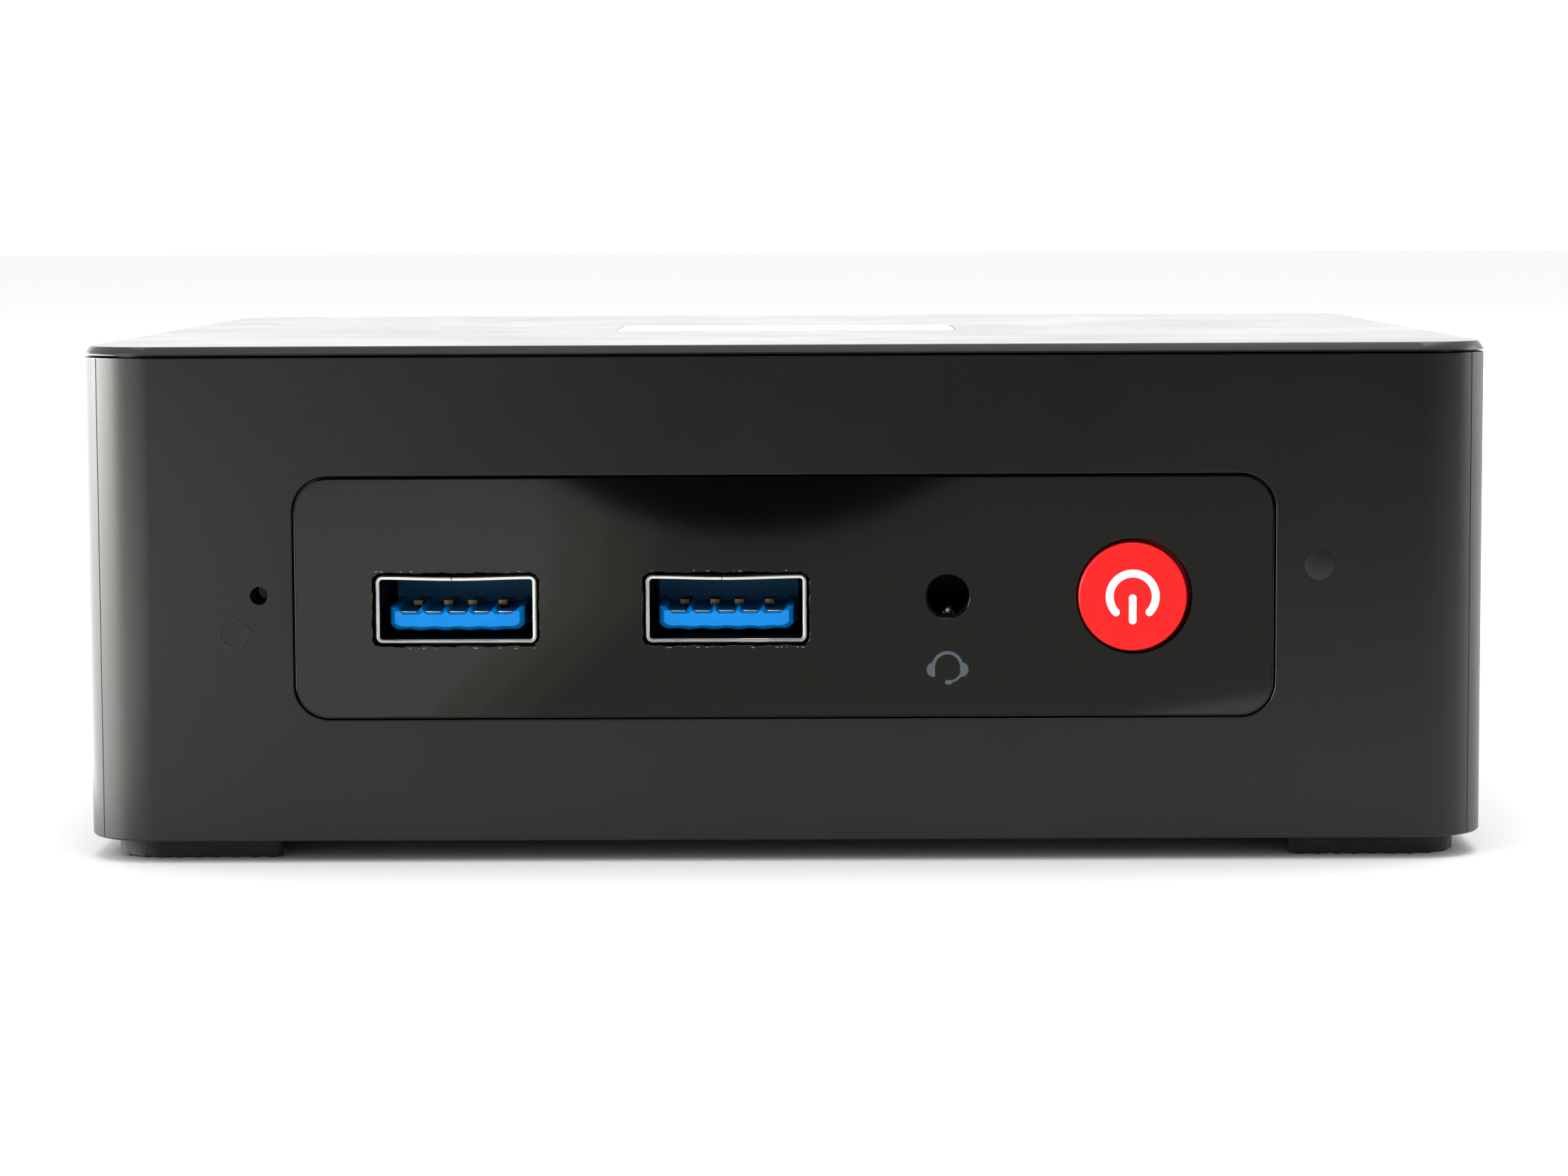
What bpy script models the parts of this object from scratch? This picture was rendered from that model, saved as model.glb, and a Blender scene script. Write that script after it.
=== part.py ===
"""Mini pc: a small moulded desktop computer, built as separate solids.

Metres, +Z up. The origin is under the middle of the case, on the plane that the feet stand on.
The front, with its inset panel, faces -Y. +X is to the right of someone who looks at the front.
"""

from math import cos, pi, radians, sin

import bmesh
import bpy
from mathutils import Vector

MM = 0.001

# Clearance between two pieces that touch, and how far a cutter runs past what it cuts
GAP = 0.3 * MM
OVERSHOOT = 2.0 * MM

# Case
WIDTH = 115.0 * MM
DEPTH = 102.0 * MM
SHELL_HEIGHT = 39.15 * MM
FOOT_STANDOFF = 1.8 * MM
CORNER_RADIUS = 6.0 * MM
SIDE_WALL = 2.0 * MM
FRONT_WALL = 3.0 * MM
REAR_WALL = 2.0 * MM

# Top cover, its lip inside the shell, and the plain badge set in it
LID_THICKNESS = 0.95 * MM
LID_EDGE_ROUND = 0.75 * MM
LIP_HEIGHT = 2.2 * MM
LIP_WALL = 1.2 * MM
BADGE_WIDTH = 31.0 * MM
BADGE_DEPTH = 18.0 * MM
BADGE_RADIUS = 2.0 * MM
BADGE_THICKNESS = 0.3 * MM

# Front panel, inset in the front wall
PANEL_SIDE_MARGIN = 17.4 * MM
PANEL_BOTTOM_MARGIN = 9.8 * MM
PANEL_HEIGHT = 20.2 * MM
PANEL_RADIUS = 2.9 * MM
PANEL_THICKNESS = 1.2 * MM

# Things in and beside the front panel
USB_EDGE_MARGIN = 13.4 * MM
USB_SPACING = 22.0 * MM
USB_DROP = 0.95 * MM
JACK_EDGE_MARGIN = 26.8 * MM
BUTTON_EDGE_MARGIN = 11.8 * MM
RESET_EDGE_OFFSET = 2.6 * MM
RESET_RISE = 0.25 * MM
RESET_HOLE_DIAMETER = 1.45 * MM
LED_EDGE_OFFSET = 3.4 * MM
LED_RISE = 2.45 * MM
LED_DIAMETER = 2.5 * MM

# USB socket
USB_WIDTH = 13.06 * MM
USB_HEIGHT = 5.5 * MM
USB_LENGTH = 14.0 * MM
USB_METAL = 0.3 * MM
USB_RADIUS = 0.5 * MM
USB_SETBACK = 0.4 * MM
USB_PITCH = 8.3 * MM
TONGUE_WIDTH = 11.1 * MM
TONGUE_THICKNESS = 1.8 * MM
TONGUE_SETBACK = 1.0 * MM
TONGUE_CLEARANCE_BELOW = 1.05 * MM
TONGUE_HOUSING = 2.0 * MM

# Audio jack
JACK_BORE = 3.6 * MM
JACK_NOSE_WALL = 0.8 * MM
JACK_BODY_WIDTH = 6.6 * MM
JACK_BODY_HEIGHT = 5.4 * MM
JACK_LENGTH = 12.0 * MM
JACK_BORE_DEPTH = 11.0 * MM

# Power button and the two side-pressed switches
BUTTON_DIAMETER = 8.6 * MM
BUTTON_PROUD = 0.6 * MM
BUTTON_FLANGE_OVERLAP = 0.8 * MM
BUTTON_FLANGE = 1.0 * MM
BUTTON_STEM_DIAMETER = 3.0 * MM
BUTTON_STEM = 1.1 * MM
PRESS_TRAVEL = 0.5 * MM
SWITCH_WIDTH = 6.0 * MM
SWITCH_HEIGHT = 3.4 * MM
SWITCH_DEPTH = 3.6 * MM
PLUNGER_DIAMETER = 1.6 * MM
PLUNGER_LENGTH = 2.8 * MM
PLUNGER_EXPOSED = 1.4 * MM

# Rear sockets
REAR_PROUD = 0.6 * MM
DC_X = 38.0 * MM
DC_WIDTH = 9.0 * MM
DC_HEIGHT = 11.0 * MM
DC_LENGTH = 14.0 * MM
DC_BORE = 6.6 * MM
DC_BORE_DEPTH = 10.0 * MM
DC_PIN_DIAMETER = 2.4 * MM
DC_PIN_SETBACK = 1.5 * MM
HDMI_X = (22.0 * MM, 4.0 * MM)
HDMI_WIDTH = 15.0 * MM
HDMI_HEIGHT = 5.6 * MM
HDMI_LENGTH = 12.0 * MM
HDMI_CHAMFER = 1.6 * MM
HDMI_TONGUE_WIDTH = 11.6 * MM
HDMI_TONGUE_THICKNESS = 1.5 * MM
ETHERNET_X = -15.0 * MM
ETHERNET_WIDTH = 16.0 * MM
ETHERNET_HEIGHT = 13.5 * MM
ETHERNET_LENGTH = 21.0 * MM
ETHERNET_CAVITY_WIDTH = 11.9 * MM
ETHERNET_CAVITY_HEIGHT = 8.2 * MM
ETHERNET_CAVITY_DEPTH = 14.0 * MM
ETHERNET_LATCH_WIDTH = 5.6 * MM
ETHERNET_LATCH_HEIGHT = 1.8 * MM
ETHERNET_SILL = 1.4 * MM
REAR_USB_X = -33.5 * MM

# Grilles and the lock slot
EXHAUST_SLOT_WIDTH = 2.0 * MM
EXHAUST_SLOT_PITCH = 3.6 * MM
EXHAUST_SLOT_COUNT = 16
EXHAUST_LIFT = 2.6 * MM
EXHAUST_TOP_MARGIN = 4.0 * MM
INTAKE_SLOT_WIDTH = 4.4 * MM
INTAKE_SLOT_LENGTH = 34.0 * MM
INTAKE_SLOT_PITCH = 7.4 * MM
INTAKE_SLOT_COUNT = 5
LOCK_SLOT_WIDTH = 7.0 * MM
LOCK_SLOT_HEIGHT = 3.0 * MM
LOCK_SLOT_X = -44.0 * MM
LOCK_SLOT_LIFT = 7.0 * MM

# Bottom cover, its feet, screws and bracket pads
COVER_RECESS = 0.4 * MM
COVER_THICKNESS = 1.6 * MM
FOOT_WIDTH = 13.7 * MM
FOOT_DEPTH = 13.7 * MM
FOOT_WALL_CLEARANCE = 0.4 * MM
FOOT_RADIUS = 3.6 * MM
FOOT_POCKET = 0.5 * MM
FOOT_HOLE_DIAMETER = 6.2 * MM
SCREW_HEAD_DIAMETER = 4.6 * MM
SCREW_HEAD = 0.9 * MM
SCREW_DIAMETER = 2.4 * MM
COVER_SCREW_LENGTH = 7.0 * MM
BOARD_SCREW_LENGTH = 6.0 * MM
COVER_FLOOR = 0.6 * MM
BRACKET_SPACING = 50.0 * MM
BRACKET_PAD_DIAMETER = 10.0 * MM
BRACKET_PAD_PROUD = 0.4 * MM
BRACKET_HOLE = 3.6 * MM

# Posts inside the shell, which take the cover screws from below and the board screws from above
POST_DIAMETER = 6.6 * MM
POST_OFFSET = 1.25 * MM
RIB_WIDTH = 2.4 * MM
POST_BORE_DEPTH = 8.0 * MM

# Motherboard and what stands on it
BOARD_THICKNESS = 1.6 * MM
BOARD_EDGE_CLEARANCE = 1.0 * MM
BOARD_FRONT_CLEARANCE = 2.4 * MM
PROCESSOR_SIZE = 26.0 * MM
PROCESSOR_THICKNESS = 1.0 * MM
HEATSINK_WIDTH = 58.0 * MM
HEATSINK_BASE = 1.5 * MM
HEATSINK_FRONT_CLEARANCE = 16.0 * MM
FIN_DEPTH = 15.0 * MM
FIN_THICKNESS = 1.0 * MM
FIN_COUNT = 19
FIN_REAR_CLEARANCE = 3.0 * MM
COIN_DIAMETER = 20.0 * MM
COIN_THICKNESS = 3.2 * MM
COIN_EDGE_CLEARANCE = 1.0 * MM
HOLDER_WALL = 0.9 * MM
HOLDER_FLOOR = 0.8 * MM
COIN_FRONT_CLEARANCE = 14.4 * MM

# Blower: housing, bearing, stator, shaft and rotor
FAN_SIZE = 56.0 * MM
FAN_HEIGHT = 9.2 * MM
FAN_PLATE = 1.0 * MM
FAN_WALL = 2.5 * MM
FAN_INLET_DIAMETER = 36.0 * MM
FAN_OUTLET_MARGIN = 5.0 * MM
FAN_FIN_GAP = 1.0 * MM
BEARING_DIAMETER = 5.0 * MM
BEARING_HEIGHT = 4.2 * MM
BEARING_BOSS_WALL = 1.2 * MM
BEARING_BOSS_HEIGHT = 2.4 * MM
SHAFT_DIAMETER = 2.0 * MM
STATOR_AIR_GAP = 1.1 * MM
STATOR_HEIGHT = 2.6 * MM
HUB_DIAMETER = 20.0 * MM
HUB_WALL = 1.1 * MM
ROTOR_END_CLEARANCE = 0.5 * MM
ROTOR_TIP_CLEARANCE = 2.0 * MM
BLADE_COUNT = 13
BLADE_THICKNESS = 0.9 * MM
BLADE_SWEEP = radians(22.0)
FAN_CABLE_DIAMETER = 1.8 * MM

# Under the motherboard: memory, drive, radio and aerials
SOCKET_HEIGHT = 4.2 * MM
CARD_SLOT_DEPTH = 4.5 * MM
CARD_DROP = 2.4 * MM
MEMORY_WIDTH = 67.6 * MM
MEMORY_DEPTH = 30.0 * MM
MEMORY_THICKNESS = 1.2 * MM
MEMORY_X = -16.0 * MM
MEMORY_REAR_CLEARANCE = 22.4 * MM
MEMORY_SOCKET_DEPTH = 6.6 * MM
MEMORY_SOCKET_MARGIN = 1.4 * MM
SSD_LENGTH = 80.0 * MM
SSD_WIDTH = 22.0 * MM
SSD_THICKNESS = 0.8 * MM
SSD_SOCKET_X = 30.0 * MM
SSD_SOCKET_DEPTH = 8.6 * MM
SSD_FRONT_CLEARANCE = 13.1 * MM
SSD_NOTCH_DIAMETER = 3.4 * MM
STANDOFF_DIAMETER = 4.6 * MM
SSD_SCREW_HEAD_DIAMETER = 5.0 * MM
SSD_SCREW_DIAMETER = 2.0 * MM
CHIP_THICKNESS = 1.0 * MM
RADIO_WIDTH = 12.0 * MM
RADIO_DEPTH = 16.0 * MM
RADIO_THICKNESS = 2.0 * MM
RADIO_X = 33.0 * MM
RADIO_Y = 4.0 * MM
ANTENNA_LENGTH = 30.0 * MM
ANTENNA_HEIGHT = 8.0 * MM
ANTENNA_THICKNESS = 0.8 * MM
ANTENNA_LIFT = 8.0 * MM
ANTENNA_CABLE_DIAMETER = 1.2 * MM

# Places that follow from the sizes above
FRONT = -DEPTH / 2
REAR = DEPTH / 2
INNER_X = WIDTH / 2 - SIDE_WALL
INNER_FRONT = FRONT + FRONT_WALL
INNER_REAR = REAR - REAR_WALL
INNER_RADIUS = CORNER_RADIUS - SIDE_WALL
SHELL_BOTTOM = FOOT_STANDOFF
SHELL_TOP = SHELL_BOTTOM + SHELL_HEIGHT
LID_BOTTOM = SHELL_TOP + GAP
LID_TOP = LID_BOTTOM + LID_THICKNESS
PANEL_WIDTH = WIDTH - 2 * PANEL_SIDE_MARGIN
PANEL_Z = SHELL_BOTTOM + PANEL_BOTTOM_MARGIN + PANEL_HEIGHT / 2
POCKET_FLOOR = FRONT + PANEL_THICKNESS + GAP
USB_Z = PANEL_Z - USB_DROP
USB_X = (-PANEL_WIDTH / 2 + USB_EDGE_MARGIN, -PANEL_WIDTH / 2 + USB_EDGE_MARGIN + USB_SPACING)
JACK_X = PANEL_WIDTH / 2 - JACK_EDGE_MARGIN
BUTTON_X = PANEL_WIDTH / 2 - BUTTON_EDGE_MARGIN
RESET_X = -PANEL_WIDTH / 2 - RESET_EDGE_OFFSET
RESET_Z = PANEL_Z + RESET_RISE
LED_X = PANEL_WIDTH / 2 + LED_EDGE_OFFSET
LED_Z = PANEL_Z + LED_RISE
BUTTON_HOLE = BUTTON_DIAMETER + 2 * GAP
BUTTON_FLANGE_DIAMETER = BUTTON_HOLE + 2 * BUTTON_FLANGE_OVERLAP
JACK_NOSE_DIAMETER = JACK_BORE + 2 * JACK_NOSE_WALL
BOARD_BOTTOM = USB_Z + USB_HEIGHT / 2 + GAP
BOARD_TOP = BOARD_BOTTOM + BOARD_THICKNESS
BOARD_FRONT = INNER_FRONT + BOARD_FRONT_CLEARANCE
BOARD_REAR = INNER_REAR - BOARD_EDGE_CLEARANCE
UNDER_BOARD = BOARD_BOTTOM - GAP
REAR_FACE = REAR + REAR_PROUD
COVER_BOTTOM = SHELL_BOTTOM + COVER_RECESS
COVER_TOP = COVER_BOTTOM + COVER_THICKNESS
FLANGE_FRONT = INNER_FRONT + GAP
STEM_END = FLANGE_FRONT + BUTTON_FLANGE + BUTTON_STEM
PLUNGER_FRONT = STEM_END + GAP
SWITCH_FRONT = PLUNGER_FRONT + PLUNGER_EXPOSED
PLUNGER_BORE_DEPTH = PLUNGER_LENGTH - PLUNGER_EXPOSED + PRESS_TRAVEL + 2 * GAP
CARD_TOP = BOARD_BOTTOM - CARD_DROP
MEMORY_SOCKET_Y = INNER_REAR - MEMORY_REAR_CLEARANCE - MEMORY_SOCKET_DEPTH
SSD_Y = BOARD_FRONT + SSD_FRONT_CLEARANCE + SSD_WIDTH / 2
HEATSINK_BOTTOM = BOARD_TOP + PROCESSOR_THICKNESS + 2 * GAP
HEATSINK_TOP = HEATSINK_BOTTOM + HEATSINK_BASE
FAN_BOTTOM = HEATSINK_TOP + GAP
FIN_REAR = INNER_REAR - FIN_REAR_CLEARANCE
FIN_FRONT = FIN_REAR - FIN_DEPTH
FAN_Y = FIN_FRONT - FAN_FIN_GAP - FAN_SIZE / 2
FAN_CAVITY_DIAMETER = FAN_SIZE - 2 * FAN_WALL
ROTOR_DIAMETER = FAN_CAVITY_DIAMETER - 2 * ROTOR_TIP_CLEARANCE
ROTOR_BOTTOM = FAN_BOTTOM + FAN_PLATE + ROTOR_END_CLEARANCE
ROTOR_HEIGHT = FAN_HEIGHT - 2 * FAN_PLATE - 2 * ROTOR_END_CLEARANCE
HUB_INSIDE = HUB_DIAMETER - 2 * HUB_WALL
BOSS_INSIDE = BEARING_DIAMETER + 2 * GAP
BOSS_DIAMETER = BOSS_INSIDE + 2 * BEARING_BOSS_WALL
CORNERS = {
    "front_left": (-1, -1),
    "front_right": (1, -1),
    "rear_left": (-1, 1),
    "rear_right": (1, 1),
}


# ---------------------------------------------------------------- materials

def linear(hex_colour):
    """Turn an sRGB hex colour into linear red, green, blue and alpha."""
    channels = [int(hex_colour[i:i + 2], 16) / 255 for i in (0, 2, 4)]
    return [c / 12.92 if c <= 0.04045 else ((c + 0.055) / 1.055) ** 2.4 for c in channels] + [1.0]


def material(name, hex_colour, roughness, metallic=0.0):
    """Return the named material, made on its first use."""
    if name in bpy.data.materials:
        return bpy.data.materials[name]
    made = bpy.data.materials.new(name)
    made.use_nodes = True
    shader = made.node_tree.nodes["Principled BSDF"]
    shader.inputs["Base Color"].default_value = linear(hex_colour)
    shader.inputs["Roughness"].default_value = roughness
    shader.inputs["Metallic"].default_value = metallic
    return made


def black_plastic():
    return material("black_plastic", "2b2c2a", 0.45)


def panel_plastic():
    return material("gloss_black_plastic", "1c1c1b", 0.12)


def red_plastic():
    return material("red_plastic", "e8262c", 0.35)


def blue_plastic():
    return material("blue_plastic", "0a6fd0", 0.35)


def black_rubber():
    return material("black_rubber", "161616", 0.8)


def bright_steel():
    return material("nickel_plated_steel", "c9c9c6", 0.25, 1.0)


def aluminium():
    return material("aluminium", "b4b6b8", 0.4, 1.0)


def circuit_board():
    return material("circuit_board", "1d4a34", 0.4)


def brass():
    return material("brass", "c8a45a", 0.3, 1.0)


def chip_plastic():
    return material("chip_plastic", "1b1b1d", 0.5)


def white_plastic():
    return material("white_plastic", "e4e4e0", 0.4)


def clear_plastic():
    return material("smoked_clear_plastic", "3a3b3a", 0.3)


# ---------------------------------------------------------------- outlines and meshes

def rounded_rectangle(width, height, radius, centre=(0.0, 0.0), steps=5):
    """Outline of a rectangle whose corners are quarter circles, anticlockwise."""
    points = []
    for quarter in range(4):
        side_u = 1 if quarter in (0, 3) else -1
        side_v = 1 if quarter in (0, 1) else -1
        for step in range(steps + 1):
            angle = (quarter + step / steps) * pi / 2
            u = centre[0] + side_u * (width / 2 - radius) + radius * cos(angle)
            v = centre[1] + side_v * (height / 2 - radius) + radius * sin(angle)
            points.append((u, v))
    return points


def circle(diameter, centre=(0.0, 0.0), sides=24):
    """Outline of a circle, anticlockwise."""
    radius = diameter / 2
    angles = [2 * pi * side / sides for side in range(sides)]
    return [(centre[0] + radius * cos(a), centre[1] + radius * sin(a)) for a in angles]


def rectangle(width, height, centre=(0.0, 0.0)):
    """Outline of a rectangle, anticlockwise."""
    u, v = centre
    return [(u + width / 2, v + height / 2), (u - width / 2, v + height / 2),
            (u - width / 2, v - height / 2), (u + width / 2, v - height / 2)]


def ring(outline, level, along):
    """Lay an outline square to an axis: (x, y) for Z, (x, z) for Y and (y, z) for X."""
    if along == "Z":
        return [Vector((u, v, level)) for u, v in outline]
    if along == "Y":
        return [Vector((u, level, v)) for u, v in outline]
    return [Vector((level, u, v)) for u, v in outline]


def skin(rings, closed=False):
    """Join rings of equal count by strips of quads, and cap the ends unless the rings close."""
    bm = bmesh.new()
    loops = [[bm.verts.new(point) for point in points] for points in rings]
    pairs = list(zip(loops, loops[1:]))
    if closed:
        pairs.append((loops[-1], loops[0]))
    for first, second in pairs:
        count = len(first)
        for i in range(count):
            j = (i + 1) % count
            bm.faces.new((first[i], first[j], second[j], second[i]))
    if not closed:
        bm.faces.new(loops[0])
        bm.faces.new(loops[-1])
    bmesh.ops.recalc_face_normals(bm, faces=bm.faces)
    return bm


def prism(outline, low, high, along="Z"):
    """Push an outline straight along an axis."""
    return skin([ring(outline, low, along), ring(outline, high, along)])


def tube(outer, inner, low, high, along="Z"):
    """Wall between two outlines of equal count, open at both ends."""
    rings = [ring(outer, low, along), ring(outer, high, along),
             ring(inner, high, along), ring(inner, low, along)]
    return skin(rings, closed=True)


def cup(outer, inner, closed_end, mouth, floor, along="Z"):
    """Wall with a floor: closed at closed_end, open at mouth, its floor ending at floor."""
    rings = [ring(outer, closed_end, along), ring(outer, mouth, along),
             ring(inner, mouth, along), ring(inner, floor, along)]
    return skin(rings)


def turned(profile, along="Z", sides=24):
    """Solid turned about an axis from (diameter, level) steps, flat at both ends."""
    return skin([ring(circle(diameter, sides=sides), level, along) for diameter, level in profile])


def merged(parts):
    """One mesh that holds several separate shapes."""
    bm = bmesh.new()
    for part in parts:
        scratch = bpy.data.meshes.new("scratch")
        part.to_mesh(scratch)
        part.free()
        bm.from_mesh(scratch)
        bpy.data.meshes.remove(scratch)
    return bm


def add_object(name, bm, finish, location=(0.0, 0.0, 0.0), smooth_angle=None):
    """Put a mesh into the scene under the assembly's empty."""
    mesh = bpy.data.meshes.new(name)
    bm.to_mesh(mesh)
    bm.free()
    mesh.materials.append(finish)
    if smooth_angle is not None:
        mesh.shade_smooth()
        mesh.set_sharp_from_angle(angle=smooth_angle)
    made = bpy.data.objects.new(name, mesh)
    made.location = location
    made.parent = bpy.data.objects.get("mini_pc")
    bpy.context.collection.objects.link(made)
    return made


def add_turned(name, profile, finish, location, along="Z", sides=24):
    """Add a turned piece, smooth round its sides."""
    return add_object(name, turned(profile, along, sides), finish, location, radians(40))


def apply_tool(target, bm, operation):
    """Cut a shape from a piece, or join it on, with an exact Boolean."""
    name = f"{target.name}_tool_{len(target.modifiers) + 1}"
    tool = add_object(name, bm, target.data.materials[0], target.location)
    tool.display_type = "WIRE"
    tool.hide_render = True
    modifier = target.modifiers.new(name, "BOOLEAN")
    modifier.object = tool
    modifier.operation = operation
    modifier.solver = "EXACT"


def cut(target, bm):
    apply_tool(target, bm, "DIFFERENCE")


def join(target, bm):
    apply_tool(target, bm, "UNION")


def spread(count, pitch):
    """Centres of count equal steps, balanced about zero."""
    return [(index - (count - 1) / 2) * pitch for index in range(count)]


def grown(outline_width, outline_height, clearance):
    """Width and height of an opening round a piece, with a clearance on each side."""
    return outline_width + 2 * clearance, outline_height + 2 * clearance


def case_outline(inset):
    """Outline of the case, drawn in by a distance on every side."""
    return rounded_rectangle(WIDTH - 2 * inset, DEPTH - 2 * inset, CORNER_RADIUS - inset)


def inside_outline(inset):
    """Outline of the space between the shell's walls, drawn in by a distance on every side."""
    depth = INNER_REAR - INNER_FRONT
    centre = (0.0, (INNER_REAR + INNER_FRONT) / 2)
    return rounded_rectangle(2 * (INNER_X - inset), depth - 2 * inset, INNER_RADIUS - inset, centre)


# ---------------------------------------------------------------- case

def front_holes():
    """Holes through the front wall and the panel: sockets, jack and button."""
    width, height = grown(USB_WIDTH, USB_HEIGHT, GAP)
    radius = USB_RADIUS + GAP
    outlines = [rounded_rectangle(width, height, radius, (x, USB_Z), 2) for x in USB_X]
    outlines.append(circle(JACK_NOSE_DIAMETER + 2 * GAP, (JACK_X, PANEL_Z)))
    outlines.append(circle(BUTTON_HOLE, (BUTTON_X, PANEL_Z), 32))
    return outlines


def rear_sockets():
    """Outlines of the rear sockets, in the rear wall's x and z, grown by the clearance."""
    top = UNDER_BOARD
    stack = USB_HEIGHT + USB_PITCH
    boxes = [(DC_X, DC_WIDTH, DC_HEIGHT), (ETHERNET_X, ETHERNET_WIDTH, ETHERNET_HEIGHT),
             (REAR_USB_X, USB_WIDTH, stack)]
    boxes += [(x, HDMI_WIDTH, HDMI_HEIGHT) for x in HDMI_X]
    outlines = []
    for x, width, height in boxes:
        wide, high = grown(width, height, GAP)
        outlines.append(rectangle(wide, high, (x, top - height / 2)))
    return outlines


def foot_centre(side_x, side_y):
    """Centre of the foot at a corner, just inside the shell's walls."""
    x = side_x * (INNER_X - FOOT_WALL_CLEARANCE - FOOT_WIDTH / 2)
    wall = INNER_REAR if side_y > 0 else INNER_FRONT
    return x, wall - side_y * (FOOT_WALL_CLEARANCE + FOOT_DEPTH / 2)


def post_centre(side_x, side_y):
    """Axis of the screw post over a foot, a little outwards of the foot's middle."""
    x, y = foot_centre(side_x, side_y)
    return x + side_x * POST_OFFSET, y


def make_main_shell():
    """Four walls with an inset pocket, socket openings, grille and screw posts."""
    shell = add_object("main_shell", tube(case_outline(0.0), inside_outline(0.0), SHELL_BOTTOM, SHELL_TOP),
                       black_plastic())
    low = COVER_TOP + GAP
    high = BOARD_BOTTOM - GAP
    for side_x, side_y in CORNERS.values():
        x, y = post_centre(side_x, side_y)
        rib_end = side_x * (INNER_X + SIDE_WALL / 2)
        rib = rectangle(abs(rib_end - x), RIB_WIDTH, ((x + rib_end) / 2, y))
        join(shell, prism(rib, low, high - GAP))
        join(shell, prism(circle(POST_DIAMETER, (x, y), 16), low, high))
    bores = []
    for side_x, side_y in CORNERS.values():
        bore = circle(SCREW_DIAMETER + 2 * GAP, post_centre(side_x, side_y), 12)
        bores.append(prism(bore, low - OVERSHOOT, low + POST_BORE_DEPTH))
        bores.append(prism(bore, high - POST_BORE_DEPTH, high + OVERSHOOT))
    cut(shell, merged(bores))
    pocket = rounded_rectangle(PANEL_WIDTH, PANEL_HEIGHT, PANEL_RADIUS, (0.0, PANEL_Z))
    cut(shell, prism(pocket, FRONT - OVERSHOOT, POCKET_FLOOR, "Y"))
    holes = [prism(o, FRONT - OVERSHOOT, INNER_FRONT + OVERSHOOT, "Y") for o in front_holes()]
    reset = circle(RESET_HOLE_DIAMETER, (RESET_X, RESET_Z), 12)
    led = circle(LED_DIAMETER + 2 * GAP, (LED_X, LED_Z), 16)
    holes += [prism(o, FRONT - OVERSHOOT, INNER_FRONT + OVERSHOOT, "Y") for o in (reset, led)]
    cut(shell, merged(holes))
    back = [prism(o, INNER_REAR - OVERSHOOT, REAR + OVERSHOOT, "Y") for o in rear_sockets()]
    slot_low = BOARD_TOP + EXHAUST_LIFT
    slot_high = SHELL_TOP - EXHAUST_TOP_MARGIN
    for x in spread(EXHAUST_SLOT_COUNT, EXHAUST_SLOT_PITCH):
        slot = rectangle(EXHAUST_SLOT_WIDTH, slot_high - slot_low, (x, (slot_low + slot_high) / 2))
        back.append(prism(slot, INNER_REAR - OVERSHOOT, REAR + OVERSHOOT, "Y"))
    lock = rectangle(LOCK_SLOT_WIDTH, LOCK_SLOT_HEIGHT, (LOCK_SLOT_X, BOARD_TOP + LOCK_SLOT_LIFT))
    back.append(prism(lock, INNER_REAR - OVERSHOOT, REAR + OVERSHOOT, "Y"))
    cut(shell, merged(back))


def make_top_cover():
    """Thin plate with a softened edge, and a lip that locates it inside the shell."""
    rings = [ring(case_outline(0.0), LID_BOTTOM, "Z"),
             ring(case_outline(0.0), LID_TOP - LID_EDGE_ROUND, "Z"),
             ring(case_outline(LID_EDGE_ROUND * 0.3), LID_TOP - LID_EDGE_ROUND * 0.3, "Z"),
             ring(case_outline(LID_EDGE_ROUND), LID_TOP, "Z")]
    cover = add_object("top_cover", skin(rings), black_plastic())
    lip = tube(inside_outline(GAP), inside_outline(GAP + LIP_WALL),
               LID_BOTTOM - LIP_HEIGHT, LID_BOTTOM + LID_THICKNESS / 3)
    join(cover, lip)
    width, depth = grown(BADGE_WIDTH, BADGE_DEPTH, GAP)
    pocket = rounded_rectangle(width, depth, BADGE_RADIUS + GAP, steps=3)
    cut(cover, prism(pocket, LID_TOP - BADGE_THICKNESS - GAP, LID_TOP + OVERSHOOT))


def make_top_badge():
    """Plain glossy plate, flush in the middle of the top cover."""
    outline = rounded_rectangle(BADGE_WIDTH, BADGE_DEPTH, BADGE_RADIUS, steps=3)
    add_object("top_badge", prism(outline, LID_TOP - BADGE_THICKNESS, LID_TOP), panel_plastic())


def make_front_panel():
    """Glossy panel that fills the pocket in the front wall, flush with it."""
    outline = rounded_rectangle(PANEL_WIDTH - 2 * GAP, PANEL_HEIGHT - 2 * GAP, PANEL_RADIUS - GAP,
                                (0.0, PANEL_Z))
    panel = add_object("front_panel", prism(outline, FRONT, FRONT + PANEL_THICKNESS, "Y"),
                       panel_plastic())
    holes = [prism(o, FRONT - OVERSHOOT, POCKET_FLOOR, "Y") for o in front_holes()[:2]]
    holes.append(prism(circle(JACK_BORE, (JACK_X, PANEL_Z)), FRONT - OVERSHOOT, POCKET_FLOOR, "Y"))
    button = circle(BUTTON_HOLE, (BUTTON_X, PANEL_Z), 32)
    holes.append(prism(button, FRONT - OVERSHOOT, POCKET_FLOOR, "Y"))
    cut(panel, merged(holes))


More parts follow.
